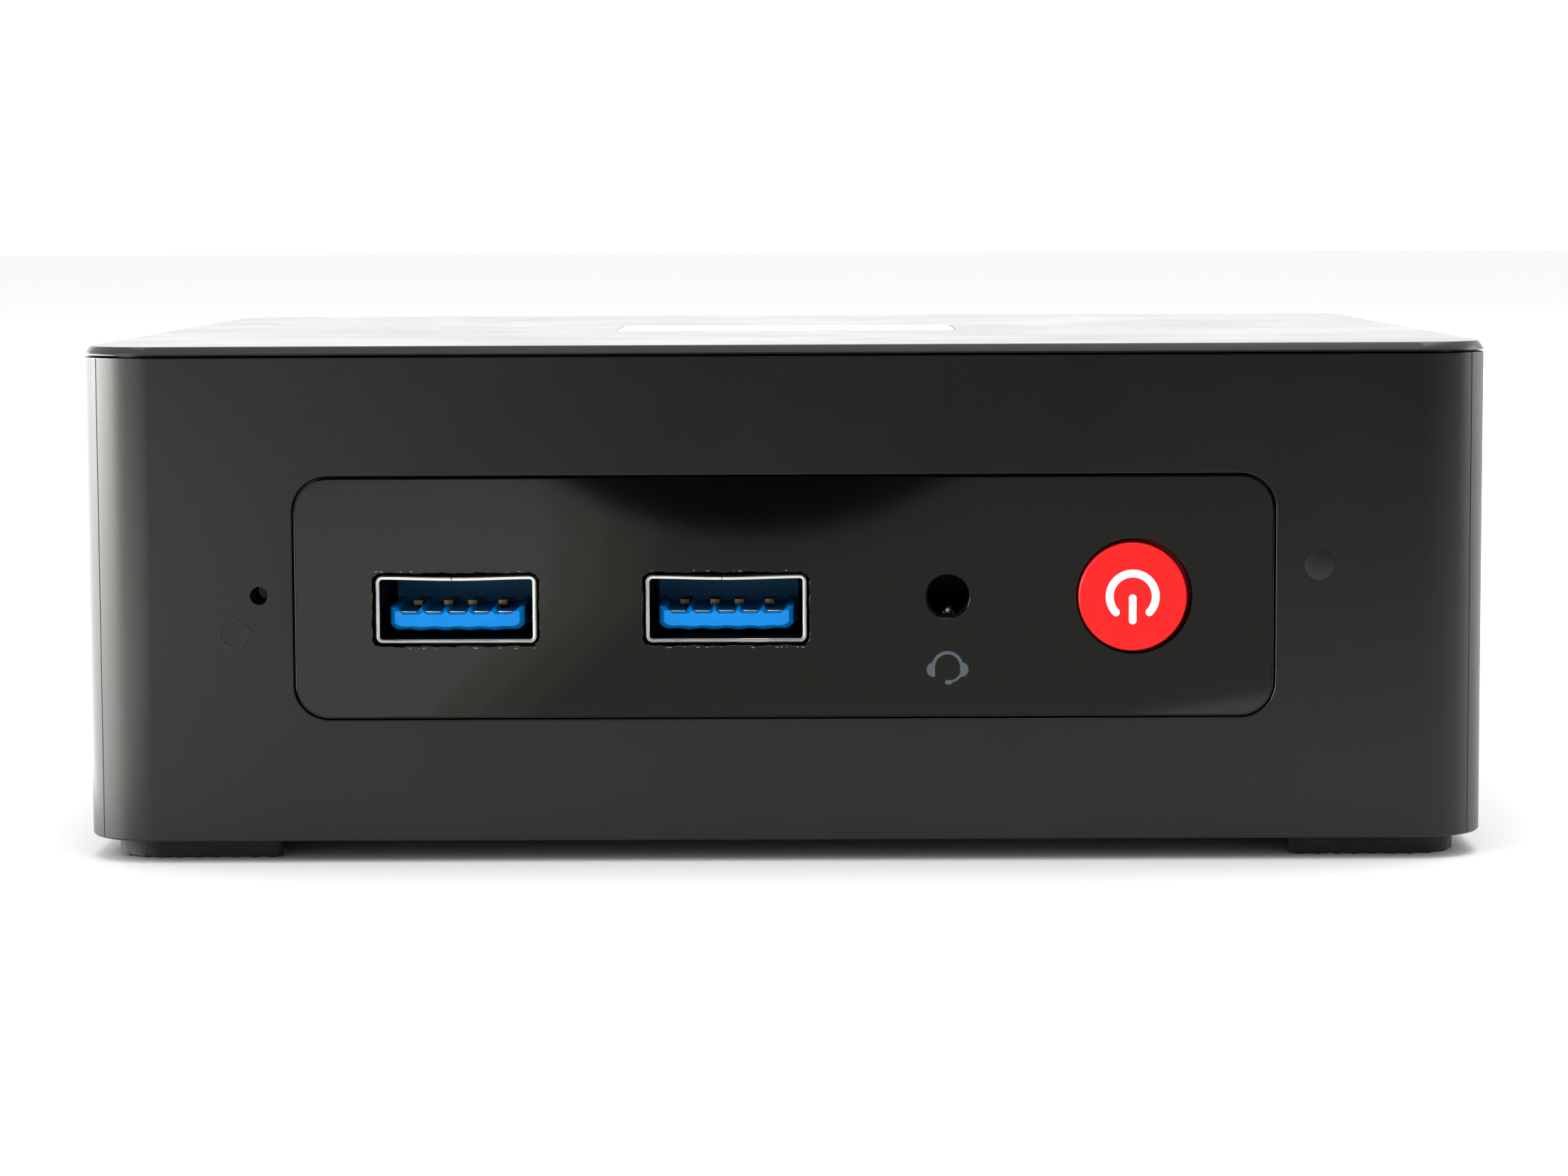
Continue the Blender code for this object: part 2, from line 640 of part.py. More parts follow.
def foot_outline(side_x, side_y, clearance):
    """A square pad whose outer corner is round, as the case's own corner is."""
    x, y = foot_centre(side_x, side_y)
    reach_x = side_x * (FOOT_WIDTH / 2 + clearance)
    reach_y = side_y * (FOOT_DEPTH / 2 + clearance)
    radius = FOOT_RADIUS + clearance
    points = [(x - reach_x, y - reach_y), (x + reach_x, y - reach_y)]
    for step in range(7):
        angle = step / 6 * pi / 2
        points.append((x + reach_x - side_x * radius * (1 - cos(angle)),
                       y + reach_y - side_y * radius * (1 - sin(angle))))
    points.append((x - reach_x, y + reach_y))
    return points


def make_bottom_cover():
    """Recessed plate with foot pockets, sunk screw holes, intake slots and bracket pads."""
    cover = add_object("bottom_cover", prism(inside_outline(GAP), COVER_BOTTOM, COVER_TOP),
                       black_plastic())
    pad_bottom = COVER_BOTTOM - BRACKET_PAD_PROUD
    pads = [circle(BRACKET_PAD_DIAMETER, (side * BRACKET_SPACING / 2, 0.0)) for side in (-1, 1)]
    join(cover, merged([prism(o, pad_bottom, COVER_TOP - COVER_FLOOR) for o in pads]))
    pockets = [prism(foot_outline(*corner, GAP), COVER_BOTTOM - OVERSHOOT, COVER_BOTTOM + FOOT_POCKET)
               for corner in CORNERS.values()]
    cut(cover, merged(pockets))
    sinks = []
    holes = []
    for side_x, side_y in CORNERS.values():
        centre = post_centre(side_x, side_y)
        head = circle(SCREW_HEAD_DIAMETER + 2 * GAP, centre, 20)
        sinks.append(prism(head, COVER_BOTTOM - OVERSHOOT, COVER_TOP - COVER_FLOOR))
        shank = circle(SCREW_DIAMETER + 2 * GAP, centre, 12)
        holes.append(prism(shank, COVER_BOTTOM - OVERSHOOT, COVER_TOP + OVERSHOOT))
    cut(cover, merged(sinks))
    for side in (-1, 1):
        thread = circle(BRACKET_HOLE, (side * BRACKET_SPACING / 2, 0.0), 16)
        holes.append(prism(thread, pad_bottom - OVERSHOOT, COVER_TOP + OVERSHOOT))
    for x in spread(INTAKE_SLOT_COUNT, INTAKE_SLOT_PITCH):
        slot = rectangle(INTAKE_SLOT_WIDTH, INTAKE_SLOT_LENGTH, (x, 0.0))
        holes.append(prism(slot, COVER_BOTTOM - OVERSHOOT, COVER_TOP + OVERSHOOT))
    cut(cover, merged(holes))


def make_feet():
    """Rubber feet, each seated in its pocket, with a hole for the cover screw."""
    for corner, (side_x, side_y) in CORNERS.items():
        top = COVER_BOTTOM + FOOT_POCKET - GAP
        foot = add_object(f"foot_{corner}", prism(foot_outline(side_x, side_y, 0.0), 0.0, top),
                          black_rubber())
        hole = circle(FOOT_HOLE_DIAMETER, post_centre(side_x, side_y), 20)
        cut(foot, prism(hole, -OVERSHOOT, top + OVERSHOOT))


def make_screws():
    """Cover screws driven up from below, and board screws driven down from above."""
    for corner, (side_x, side_y) in CORNERS.items():
        centre = post_centre(side_x, side_y)
        head_top = COVER_TOP - COVER_FLOOR - GAP
        up = [(SCREW_HEAD_DIAMETER, -SCREW_HEAD), (SCREW_HEAD_DIAMETER, 0.0), (SCREW_DIAMETER, 0.0),
              (SCREW_DIAMETER, COVER_SCREW_LENGTH)]
        add_turned(f"cover_screw_{corner}", up, bright_steel(), (*centre, head_top), sides=16)
        down = [(SCREW_DIAMETER, -BOARD_SCREW_LENGTH), (SCREW_DIAMETER, 0.0),
                (SCREW_HEAD_DIAMETER, 0.0), (SCREW_HEAD_DIAMETER, SCREW_HEAD)]
        add_turned(f"board_screw_{corner}", down, bright_steel(), (*centre, BOARD_TOP + GAP), sides=16)


# ---------------------------------------------------------------- front controls and sockets

def usb_metal(width, height, centre, mouth, inward):
    """Folded metal sleeve of one USB socket, closed at its back end."""
    back = mouth + inward * USB_LENGTH
    outer = rounded_rectangle(width, height, USB_RADIUS, centre, 2)
    inner = rounded_rectangle(width - 2 * USB_METAL, height - 2 * USB_METAL, USB_RADIUS - USB_METAL / 2,
                              centre, 2)
    return cup(outer, inner, back, mouth, back - inward * USB_METAL, "Y")


def make_usb_tongue(name, x, z, mouth, inward):
    """Contact carrier inside a USB socket: a block at the back and a tongue low in the opening."""
    floor = mouth + inward * (USB_LENGTH - USB_METAL)
    back = floor - inward * GAP
    width, height = grown(USB_WIDTH, USB_HEIGHT, -USB_METAL - GAP)
    block = prism(rectangle(width, height, (x, z)), back, back - inward * TONGUE_HOUSING, "Y")
    carrier = add_object(name, block, blue_plastic())
    tongue_low = z - USB_HEIGHT / 2 + USB_METAL + TONGUE_CLEARANCE_BELOW
    outline = rectangle(TONGUE_WIDTH, TONGUE_THICKNESS, (x, tongue_low + TONGUE_THICKNESS / 2))
    join(carrier, prism(outline, mouth + inward * TONGUE_SETBACK, back - inward * TONGUE_HOUSING / 2, "Y"))


def make_front_usb():
    """Two USB sockets, upside down because they hang under the motherboard."""
    mouth = FRONT + USB_SETBACK
    for side, x in zip(("left", "right"), USB_X):
        sleeve = usb_metal(USB_WIDTH, USB_HEIGHT, (x, USB_Z), mouth, 1)
        add_object(f"front_usb_shell_{side}", sleeve, bright_steel())
        make_usb_tongue(f"front_usb_tongue_{side}", x, USB_Z, mouth, 1)


def make_audio_jack():
    """Jack body with a round nose in the front wall, sunk into a notch in the motherboard."""
    nose_front = POCKET_FLOOR
    body_front = BOARD_FRONT - GAP
    body = rectangle(JACK_BODY_WIDTH, JACK_BODY_HEIGHT, (JACK_X, PANEL_Z))
    jack = add_object("audio_jack", prism(body, body_front, body_front + JACK_LENGTH, "Y"),
                      chip_plastic())
    nose = circle(JACK_NOSE_DIAMETER, (JACK_X, PANEL_Z))
    join(jack, prism(nose, nose_front, body_front + JACK_LENGTH / 2, "Y"))
    bore = circle(JACK_BORE, (JACK_X, PANEL_Z))
    cut(jack, prism(bore, nose_front - OVERSHOOT, nose_front + JACK_BORE_DEPTH, "Y"))


def make_power_button():
    """Round cap that stands proud of the panel, kept in by a flange, with a stem behind it."""
    flange_back = FLANGE_FRONT + BUTTON_FLANGE
    soft_edge = BUTTON_PROUD / 3
    steps = [(BUTTON_DIAMETER - 2 * soft_edge, FRONT - BUTTON_PROUD),
             (BUTTON_DIAMETER, FRONT - BUTTON_PROUD + soft_edge),
             (BUTTON_DIAMETER, FLANGE_FRONT),
             (BUTTON_FLANGE_DIAMETER, FLANGE_FRONT),
             (BUTTON_FLANGE_DIAMETER, flange_back),
             (BUTTON_STEM_DIAMETER, flange_back),
             (BUTTON_STEM_DIAMETER, STEM_END)]
    profile = [(diameter, level - FRONT) for diameter, level in steps]
    add_turned("power_button", profile, red_plastic(), (BUTTON_X, FRONT, PANEL_Z), "Y", 32)


def make_side_switch(name, x, z):
    """Switch pressed from the front: a body with a bore, and the plunger that slides in it."""
    body_outline = rectangle(SWITCH_WIDTH, SWITCH_HEIGHT, (x, UNDER_BOARD - SWITCH_HEIGHT / 2))
    body = prism(body_outline, SWITCH_FRONT, SWITCH_FRONT + SWITCH_DEPTH, "Y")
    switch = add_object(name, body, chip_plastic())
    bore = circle(PLUNGER_DIAMETER + 2 * GAP, (x, z), 12)
    cut(switch, prism(bore, SWITCH_FRONT - OVERSHOOT, SWITCH_FRONT + PLUNGER_BORE_DEPTH, "Y"))
    profile = [(PLUNGER_DIAMETER, 0.0), (PLUNGER_DIAMETER, PLUNGER_LENGTH)]
    add_turned(f"{name}_plunger", profile, white_plastic(), (x, PLUNGER_FRONT, z), "Y", 12)


def make_light_pipe():
    """Smoked pipe that brings the status light through the front wall."""
    profile = [(LED_DIAMETER, 0.0), (LED_DIAMETER, FRONT_WALL + BOARD_FRONT_CLEARANCE - GAP)]
    add_turned("led_light_pipe", profile, clear_plastic(), (LED_X, FRONT, LED_Z), "Y", 16)


# ---------------------------------------------------------------- rear sockets

def make_rear_usb():
    """Double USB socket: one metal body with two openings, one above the other."""
    height = USB_HEIGHT + USB_PITCH
    upper = UNDER_BOARD - USB_HEIGHT / 2
    outline = rounded_rectangle(USB_WIDTH, height, USB_RADIUS, (REAR_USB_X, UNDER_BOARD - height / 2), 2)
    body = add_object("rear_usb_shell", prism(outline, REAR_FACE - USB_LENGTH, REAR_FACE, "Y"),
                      bright_steel())
    width, opening = grown(USB_WIDTH, USB_HEIGHT, -USB_METAL)
    floor = REAR_FACE - USB_LENGTH + USB_METAL
    cavities = []
    for level, z in (("upper", upper), ("lower", upper - USB_PITCH)):
        cavity = rounded_rectangle(width, opening, USB_RADIUS - USB_METAL / 2, (REAR_USB_X, z), 2)
        cavities.append(prism(cavity, floor, REAR_FACE + OVERSHOOT, "Y"))
        make_usb_tongue(f"rear_usb_tongue_{level}", REAR_USB_X, z, REAR_FACE, -1)
    cut(body, merged(cavities))


def hdmi_outline(x, inset):
    """HDMI socket outline: a rectangle whose two lower corners are cut off at a slant."""
    half = HDMI_WIDTH / 2 - inset
    top = UNDER_BOARD - inset
    bottom = UNDER_BOARD - HDMI_HEIGHT + inset
    return [(x + half, top), (x - half, top), (x - half, bottom + HDMI_CHAMFER),
            (x - half + HDMI_CHAMFER, bottom), (x + half - HDMI_CHAMFER, bottom),
            (x + half, bottom + HDMI_CHAMFER)]


def make_hdmi():
    """Two HDMI sockets, each a metal sleeve round a tongue."""
    back = REAR_FACE - HDMI_LENGTH
    for side, x in zip(("left", "right"), HDMI_X):
        sleeve = cup(hdmi_outline(x, 0.0), hdmi_outline(x, USB_METAL), back, REAR_FACE,
                     back + USB_METAL, "Y")
        add_object(f"hdmi_shell_{side}", sleeve, bright_steel())
        seat = back + USB_METAL + GAP
        block = prism(hdmi_outline(x, USB_METAL + GAP), seat, seat + TONGUE_HOUSING, "Y")
        carrier = add_object(f"hdmi_tongue_{side}", block, chip_plastic())
        outline = rectangle(HDMI_TONGUE_WIDTH, HDMI_TONGUE_THICKNESS, (x, UNDER_BOARD - HDMI_HEIGHT / 2))
        join(carrier, prism(outline, seat + TONGUE_HOUSING / 2, REAR_FACE - TONGUE_SETBACK, "Y"))


def make_ethernet():
    """Network jack: a metal-clad block with a plug cavity and a channel for the plug's latch."""
    top = UNDER_BOARD
    block = rectangle(ETHERNET_WIDTH, ETHERNET_HEIGHT, (ETHERNET_X, top - ETHERNET_HEIGHT / 2))
    jack = add_object("ethernet_jack", prism(block, REAR_FACE - ETHERNET_LENGTH, REAR_FACE, "Y"),
                      bright_steel())
    cavity_low = top - ETHERNET_SILL - ETHERNET_CAVITY_HEIGHT
    cavity = rectangle(ETHERNET_CAVITY_WIDTH, ETHERNET_CAVITY_HEIGHT,
                       (ETHERNET_X, cavity_low + ETHERNET_CAVITY_HEIGHT / 2))
    latch = rectangle(ETHERNET_LATCH_WIDTH, 2 * ETHERNET_LATCH_HEIGHT, (ETHERNET_X, cavity_low))
    floor = REAR_FACE - ETHERNET_CAVITY_DEPTH
    for outline in (cavity, latch):
        cut(jack, prism(outline, floor, REAR_FACE + OVERSHOOT, "Y"))


def make_dc_jack():
    """Power inlet: a block with a round socket, and the centre pin that stands in it."""
    z = UNDER_BOARD - DC_HEIGHT / 2
    block = rectangle(DC_WIDTH, DC_HEIGHT, (DC_X, z))
    jack = add_object("dc_jack", prism(block, REAR_FACE - DC_LENGTH, REAR_FACE, "Y"), chip_plastic())
    socket = circle(DC_BORE, (DC_X, z), 20)
    cut(jack, prism(socket, REAR_FACE - DC_BORE_DEPTH, REAR_FACE + OVERSHOOT, "Y"))
    length = DC_BORE_DEPTH - GAP - DC_PIN_SETBACK
    profile = [(DC_PIN_DIAMETER, 0.0), (DC_PIN_DIAMETER, length)]
    place = (DC_X, REAR_FACE - DC_BORE_DEPTH + GAP, z)
    add_turned("dc_jack_pin", profile, bright_steel(), place, "Y", 12)


# ---------------------------------------------------------------- board and cooling

def make_motherboard():
    """Circuit board on the four posts, with screw holes and a notch for the sunk jack."""
    depth = BOARD_REAR - BOARD_FRONT
    centre = (0.0, (BOARD_REAR + BOARD_FRONT) / 2)
    width = 2 * (INNER_X - BOARD_EDGE_CLEARANCE)
    outline = rounded_rectangle(width, depth, INNER_RADIUS - BOARD_EDGE_CLEARANCE, centre)
    board = add_object("motherboard", prism(outline, BOARD_BOTTOM, BOARD_TOP), circuit_board())
    holes = []
    for side_x, side_y in CORNERS.values():
        hole = circle(SCREW_DIAMETER + 2 * GAP, post_centre(side_x, side_y), 12)
        holes.append(prism(hole, BOARD_BOTTOM - OVERSHOOT, BOARD_TOP + OVERSHOOT))
    notch_end = BOARD_FRONT + JACK_LENGTH
    notch = rectangle(JACK_BODY_WIDTH + 2 * GAP, notch_end - BOARD_FRONT + OVERSHOOT,
                      (JACK_X, (notch_end + BOARD_FRONT - OVERSHOOT) / 2))
    holes.append(prism(notch, BOARD_BOTTOM - OVERSHOOT, BOARD_TOP + OVERSHOOT))
    cut(board, merged(holes))


def make_processor():
    """Processor package, centred under the blower."""
    outline = rectangle(PROCESSOR_SIZE, PROCESSOR_SIZE, (0.0, FAN_Y))
    low = BOARD_TOP + GAP
    add_object("processor", prism(outline, low, low + PROCESSOR_THICKNESS), chip_plastic())


def make_heatsink():
    """Base plate over the processor, with a block of fins behind the blower's outlet."""
    plate_front = BOARD_FRONT + HEATSINK_FRONT_CLEARANCE
    outline = rectangle(HEATSINK_WIDTH, FIN_REAR - plate_front, (0.0, (FIN_REAR + plate_front) / 2))
    plate = add_object("heatsink", prism(outline, HEATSINK_BOTTOM, HEATSINK_TOP), aluminium())
    pitch = (HEATSINK_WIDTH - FIN_THICKNESS) / (FIN_COUNT - 1)
    inset = FIN_THICKNESS / 10
    fins = []
    for x in spread(FIN_COUNT, pitch - inset):
        fin = rectangle(FIN_THICKNESS, FIN_DEPTH - inset, (x, FIN_REAR - FIN_DEPTH / 2 - inset))
        fins.append(prism(fin, HEATSINK_TOP - HEATSINK_BASE / 2, FAN_BOTTOM + FAN_HEIGHT))
    join(plate, merged(fins))


def make_fan_frame():
    """Blower housing: a round chamber, an inlet in its roof and an outlet towards the fins."""
    outline = rounded_rectangle(FAN_SIZE, FAN_SIZE, PANEL_RADIUS, (0.0, FAN_Y), 2)
    frame = add_object("fan_frame", prism(outline, FAN_BOTTOM, FAN_BOTTOM + FAN_HEIGHT), chip_plastic())
    low = FAN_BOTTOM + FAN_PLATE
    high = FAN_BOTTOM + FAN_HEIGHT - FAN_PLATE
    cut(frame, prism(circle(FAN_CAVITY_DIAMETER, (0.0, FAN_Y), 40), low, high))
    outlet = rectangle(FAN_SIZE - 2 * FAN_OUTLET_MARGIN, FAN_SIZE / 2 + OVERSHOOT,
                       (0.0, FAN_Y + (FAN_SIZE / 2 + OVERSHOOT) / 2))
    cut(frame, prism(outlet, low + GAP / 3, high - GAP / 3))
    cut(frame, prism(circle(FAN_INLET_DIAMETER, (0.0, FAN_Y), 32), high - FAN_PLATE,
                     high + OVERSHOOT))
    boss = tube(circle(BOSS_DIAMETER, (0.0, FAN_Y), 20), circle(BOSS_INSIDE, (0.0, FAN_Y), 20),
                FAN_BOTTOM + FAN_PLATE / 2, low + BEARING_BOSS_HEIGHT)
    join(frame, boss)


def make_fan_core():
    """Bearing sleeve, stator ring and shaft, all on the fan's axis."""
    low = FAN_BOTTOM + FAN_PLATE + GAP
    axis = (0.0, FAN_Y, low)
    sleeve = tube(circle(BEARING_DIAMETER, sides=20), circle(SHAFT_DIAMETER + 2 * GAP, sides=20),
                  0.0, BEARING_HEIGHT)
    add_object("fan_bearing", sleeve, brass(), axis, radians(40))
    stator = tube(circle(HUB_INSIDE - 2 * STATOR_AIR_GAP, sides=18),
                  circle(BOSS_DIAMETER + 2 * GAP, sides=18), 0.0, STATOR_HEIGHT)
    add_object("fan_stator", stator, brass(), axis, radians(40))
    shaft = [(SHAFT_DIAMETER, 0.0), (SHAFT_DIAMETER, ROTOR_BOTTOM + ROTOR_HEIGHT - low)]
    add_turned("fan_shaft", shaft, bright_steel(), (0.0, FAN_Y, low), sides=12)


def rotor_outline():
    """Hub circle with curved blades that sweep back as they leave it."""
    points = []
    hub = HUB_DIAMETER / 2
    tip = ROTOR_DIAMETER / 2
    middle = (hub + tip) / 2
    pitch = 2 * pi / BLADE_COUNT
    for blade in range(BLADE_COUNT):
        start = blade * pitch
        path = [(hub, 0.0), (middle, -BLADE_SWEEP * 0.35), (tip, -BLADE_SWEEP)]
        for radius, sweep in path:
            angle = start + sweep - BLADE_THICKNESS / 2 / radius
            points.append((radius * cos(angle), radius * sin(angle)))
        for radius, sweep in reversed(path):
            angle = start + sweep + BLADE_THICKNESS / 2 / radius
            points.append((radius * cos(angle), radius * sin(angle)))
        between = start + pitch / 2
        points.append((hub * cos(between), hub * sin(between)))
    return points


def make_fan_rotor():
    """Rotor: a hub cup open downwards over the stator, with blades round it."""
    rotor = add_object("fan_rotor", prism(rotor_outline(), 0.0, ROTOR_HEIGHT), chip_plastic(),
                       (0.0, FAN_Y, ROTOR_BOTTOM))
    cut(rotor, prism(circle(HUB_INSIDE, sides=32), -OVERSHOOT, ROTOR_HEIGHT - HUB_WALL))
    cut(rotor, prism(circle(SHAFT_DIAMETER + 2 * GAP, sides=16), -OVERSHOOT, ROTOR_HEIGHT + OVERSHOOT))


def make_coin_cell():
    """Clock battery in a round holder on the motherboard."""
    holder_outer = COIN_DIAMETER + 2 * GAP + 2 * HOLDER_WALL
    x = INNER_X - BOARD_EDGE_CLEARANCE - COIN_EDGE_CLEARANCE - holder_outer / 2
    y = BOARD_FRONT + COIN_FRONT_CLEARANCE + holder_outer / 2
    low = BOARD_TOP + GAP
    holder = cup(circle(holder_outer), circle(COIN_DIAMETER + 2 * GAP), 0.0,
                 HOLDER_FLOOR + COIN_THICKNESS, HOLDER_FLOOR)
    add_object("coin_cell_holder", holder, white_plastic(), (x, y, low), radians(40))
    profile = [(COIN_DIAMETER, 0.0), (COIN_DIAMETER, COIN_THICKNESS)]
    add_turned("coin_cell", profile, bright_steel(), (x, y, low + HOLDER_FLOOR + GAP))


# ---------------------------------------------------------------- under the board

def make_memory():
    """Memory socket and the module that lies in it, flat under the board."""
    width = MEMORY_WIDTH + 2 * MEMORY_SOCKET_MARGIN
    centre = (MEMORY_X, MEMORY_SOCKET_Y + MEMORY_SOCKET_DEPTH / 2)
    block = prism(rectangle(width, MEMORY_SOCKET_DEPTH, centre), UNDER_BOARD - SOCKET_HEIGHT, UNDER_BOARD)
    socket = add_object("memory_socket", block, chip_plastic())
    slot_end = MEMORY_SOCKET_Y + CARD_SLOT_DEPTH
    slot = rectangle(MEMORY_WIDTH + 2 * GAP, CARD_SLOT_DEPTH + OVERSHOOT,
                     (MEMORY_X, slot_end - (CARD_SLOT_DEPTH + OVERSHOOT) / 2))
    cut(socket, prism(slot, CARD_TOP - MEMORY_THICKNESS - GAP, CARD_TOP + GAP))
    card_y = slot_end - GAP - MEMORY_DEPTH / 2
    card = rectangle(MEMORY_WIDTH, MEMORY_DEPTH, (MEMORY_X, card_y))
    module = add_object("memory_module", prism(card, CARD_TOP - MEMORY_THICKNESS, CARD_TOP),
                        circuit_board())
    chip_y = card_y - CARD_SLOT_DEPTH
    pitch = MEMORY_WIDTH / 4
    chips = [prism(rectangle(pitch * 0.7, pitch * 0.6, (MEMORY_X + x, chip_y)),
                   CARD_TOP - MEMORY_THICKNESS - CHIP_THICKNESS, CARD_TOP - MEMORY_THICKNESS / 2)
             for x in spread(4, pitch)]
    join(module, merged(chips))


def make_ssd():
    """Drive card in its socket, held at its far end by a screw in a standoff."""
    block = rectangle(SSD_SOCKET_DEPTH, SSD_WIDTH, (SSD_SOCKET_X + SSD_SOCKET_DEPTH / 2, SSD_Y))
    socket = add_object("ssd_socket", prism(block, UNDER_BOARD - SOCKET_HEIGHT, UNDER_BOARD),
                        chip_plastic())
    slot_end = SSD_SOCKET_X + CARD_SLOT_DEPTH
    slot = rectangle(CARD_SLOT_DEPTH + OVERSHOOT, SSD_WIDTH + OVERSHOOT,
                     (slot_end - (CARD_SLOT_DEPTH + OVERSHOOT) / 2, SSD_Y))
    cut(socket, prism(slot, CARD_TOP - SSD_THICKNESS - GAP, CARD_TOP + GAP))
    card_end = slot_end - GAP - SSD_LENGTH
    card_outline = rectangle(SSD_LENGTH, SSD_WIDTH, (card_end + SSD_LENGTH / 2, SSD_Y))
    card = add_object("ssd_card", prism(card_outline, CARD_TOP - SSD_THICKNESS, CARD_TOP),
                      circuit_board())
    pitch = SSD_LENGTH / 4
    chips = [prism(rectangle(pitch * 0.7, SSD_WIDTH * 0.7, (card_end + SSD_LENGTH * 0.48 + x, SSD_Y)),
                   CARD_TOP - SSD_THICKNESS - CHIP_THICKNESS, CARD_TOP - SSD_THICKNESS / 2)
             for x in spread(3, pitch)]
    join(card, merged(chips))
    notch = circle(SSD_NOTCH_DIAMETER, (card_end, SSD_Y), 16)
    cut(card, prism(notch, CARD_TOP - SSD_THICKNESS - OVERSHOOT, CARD_TOP + OVERSHOOT))
    drop = UNDER_BOARD - CARD_TOP - GAP
    pillar = cup(circle(STANDOFF_DIAMETER, sides=16), circle(SSD_SCREW_DIAMETER + 2 * GAP, sides=16),
                 drop, 0.0, drop * 0.8)
    add_object("ssd_standoff", pillar, brass(), (card_end, SSD_Y, CARD_TOP + GAP))
    shank = SSD_THICKNESS + 2 * GAP + drop / 2
    profile = [(SSD_SCREW_HEAD_DIAMETER, -SCREW_HEAD), (SSD_SCREW_HEAD_DIAMETER, 0.0),
               (SSD_SCREW_DIAMETER, 0.0), (SSD_SCREW_DIAMETER, shank)]
    add_turned("ssd_screw", profile, bright_steel(), (card_end, SSD_Y, CARD_TOP - SSD_THICKNESS - GAP),
               sides=16)


def smooth_route(points, steps):
    """Points on the smooth curve through a route's own points (Catmull-Rom)."""
    route = [Vector(point) for point in points]
    padded = [2 * route[0] - route[1]] + route + [2 * route[-1] - route[-2]]
    curve = []
    for a, b, c, d in zip(padded, padded[1:], padded[2:], padded[3:]):
        for step in range(steps):
            t = step / steps
            curve.append(0.5 * (2 * b + (c - a) * t + (2 * a - 5 * b + 4 * c - d) * t ** 2
                                + (3 * b - a - 3 * c + d) * t ** 3))
    curve.append(route[-1])
    return curve


def add_cable(name, points, diameter, finish, steps=4):
    """Round cable on a smooth route, with flat ends."""
    curve = bpy.data.curves.new(name, "CURVE")
    curve.dimensions = "3D"
    curve.bevel_depth = diameter / 2
    curve.bevel_resolution = 2
    curve.use_fill_caps = True
    route = smooth_route(points, steps)
    spline = curve.splines.new("POLY")
    spline.points.add(len(route) - 1)
    for target, point in zip(spline.points, route):
        target.co = (*point, 1.0)
    curve.materials.append(finish)
    made = bpy.data.objects.new(name, curve)
    made.parent = bpy.data.objects["mini_pc"]
    bpy.context.collection.objects.link(made)


def make_radio():
    """Radio module under the board, with an aerial on each side wall and a cable to each."""
    block = rectangle(RADIO_WIDTH, RADIO_DEPTH, (RADIO_X, RADIO_Y))
    low = UNDER_BOARD - RADIO_THICKNESS
    add_object("wifi_module", prism(block, low, UNDER_BOARD), bright_steel())
    bottom = COVER_TOP + ANTENNA_LIFT
    x_face = INNER_X - GAP - ANTENNA_THICKNESS
    cable_z = low - GAP
    for side, sign in (("left", -1), ("right", 1)):
        strip = rectangle(ANTENNA_LENGTH, ANTENNA_HEIGHT, (RADIO_Y, bottom + ANTENNA_HEIGHT / 2))
        add_object(f"antenna_{side}", prism(strip, sign * x_face, sign * (x_face + ANTENNA_THICKNESS), "X"),
                   circuit_board())
    start_left = Vector((-x_face + GAP, RADIO_Y, bottom + ANTENNA_HEIGHT / 2))
    start_right = Vector((x_face - GAP, RADIO_Y, bottom + ANTENNA_HEIGHT / 2))
    dip = bottom + ANTENNA_CABLE_DIAMETER
    end_left = Vector((RADIO_X - RADIO_WIDTH / 4, RADIO_Y - RADIO_DEPTH / 4, cable_z))
    end_right = Vector((RADIO_X + RADIO_WIDTH / 4, RADIO_Y - RADIO_DEPTH / 4, cable_z))
    left = [start_left, start_left + Vector((4 * MM, 0, -1 * MM)),
            Vector((start_left.x * 0.7, RADIO_Y - 6 * MM, dip)),
            Vector((start_left.x * 0.3, RADIO_Y + 2 * MM, dip)),
            Vector((RADIO_X * 0.45, RADIO_Y - 6 * MM, dip)),
            end_left + Vector((-3 * MM, -1 * MM, -4 * MM)), end_left]
    right = [start_right, start_right + Vector((-4 * MM, 0, -1 * MM)),
             Vector(((start_right.x + end_right.x) / 2, RADIO_Y - 8 * MM, dip)),
             end_right + Vector((2 * MM, -1 * MM, -4 * MM)), end_right]
    add_cable("antenna_cable_left", left, ANTENNA_CABLE_DIAMETER, chip_plastic())
    add_cable("antenna_cable_right", right, ANTENNA_CABLE_DIAMETER, chip_plastic(), 3)


def make_fan_cable():
    """Short lead from the blower's side down to the motherboard."""
    start = Vector((-FAN_SIZE / 2 - GAP, FAN_Y, FAN_BOTTOM + FAN_HEIGHT / 2))
    end = Vector((start.x - 10 * MM, FAN_Y - 12 * MM, BOARD_TOP + GAP))
    route = [start, start + Vector((-4 * MM, -1 * MM, 0)), start + Vector((-9 * MM, -6 * MM, -2 * MM)),
             end + Vector((0, 1 * MM, 4 * MM)), end]
    add_cable("fan_cable", route, FAN_CABLE_DIAMETER, chip_plastic(), 3)


# ---------------------------------------------------------------- assembly

def clear_scene():
    for existing in list(bpy.data.objects):
        bpy.data.objects.remove(existing, do_unlink=True)


def add_root():
    """Empty at the assembly's origin, which every piece hangs from."""
    root = bpy.data.objects.new("mini_pc", None)
    bpy.context.collection.objects.link(root)


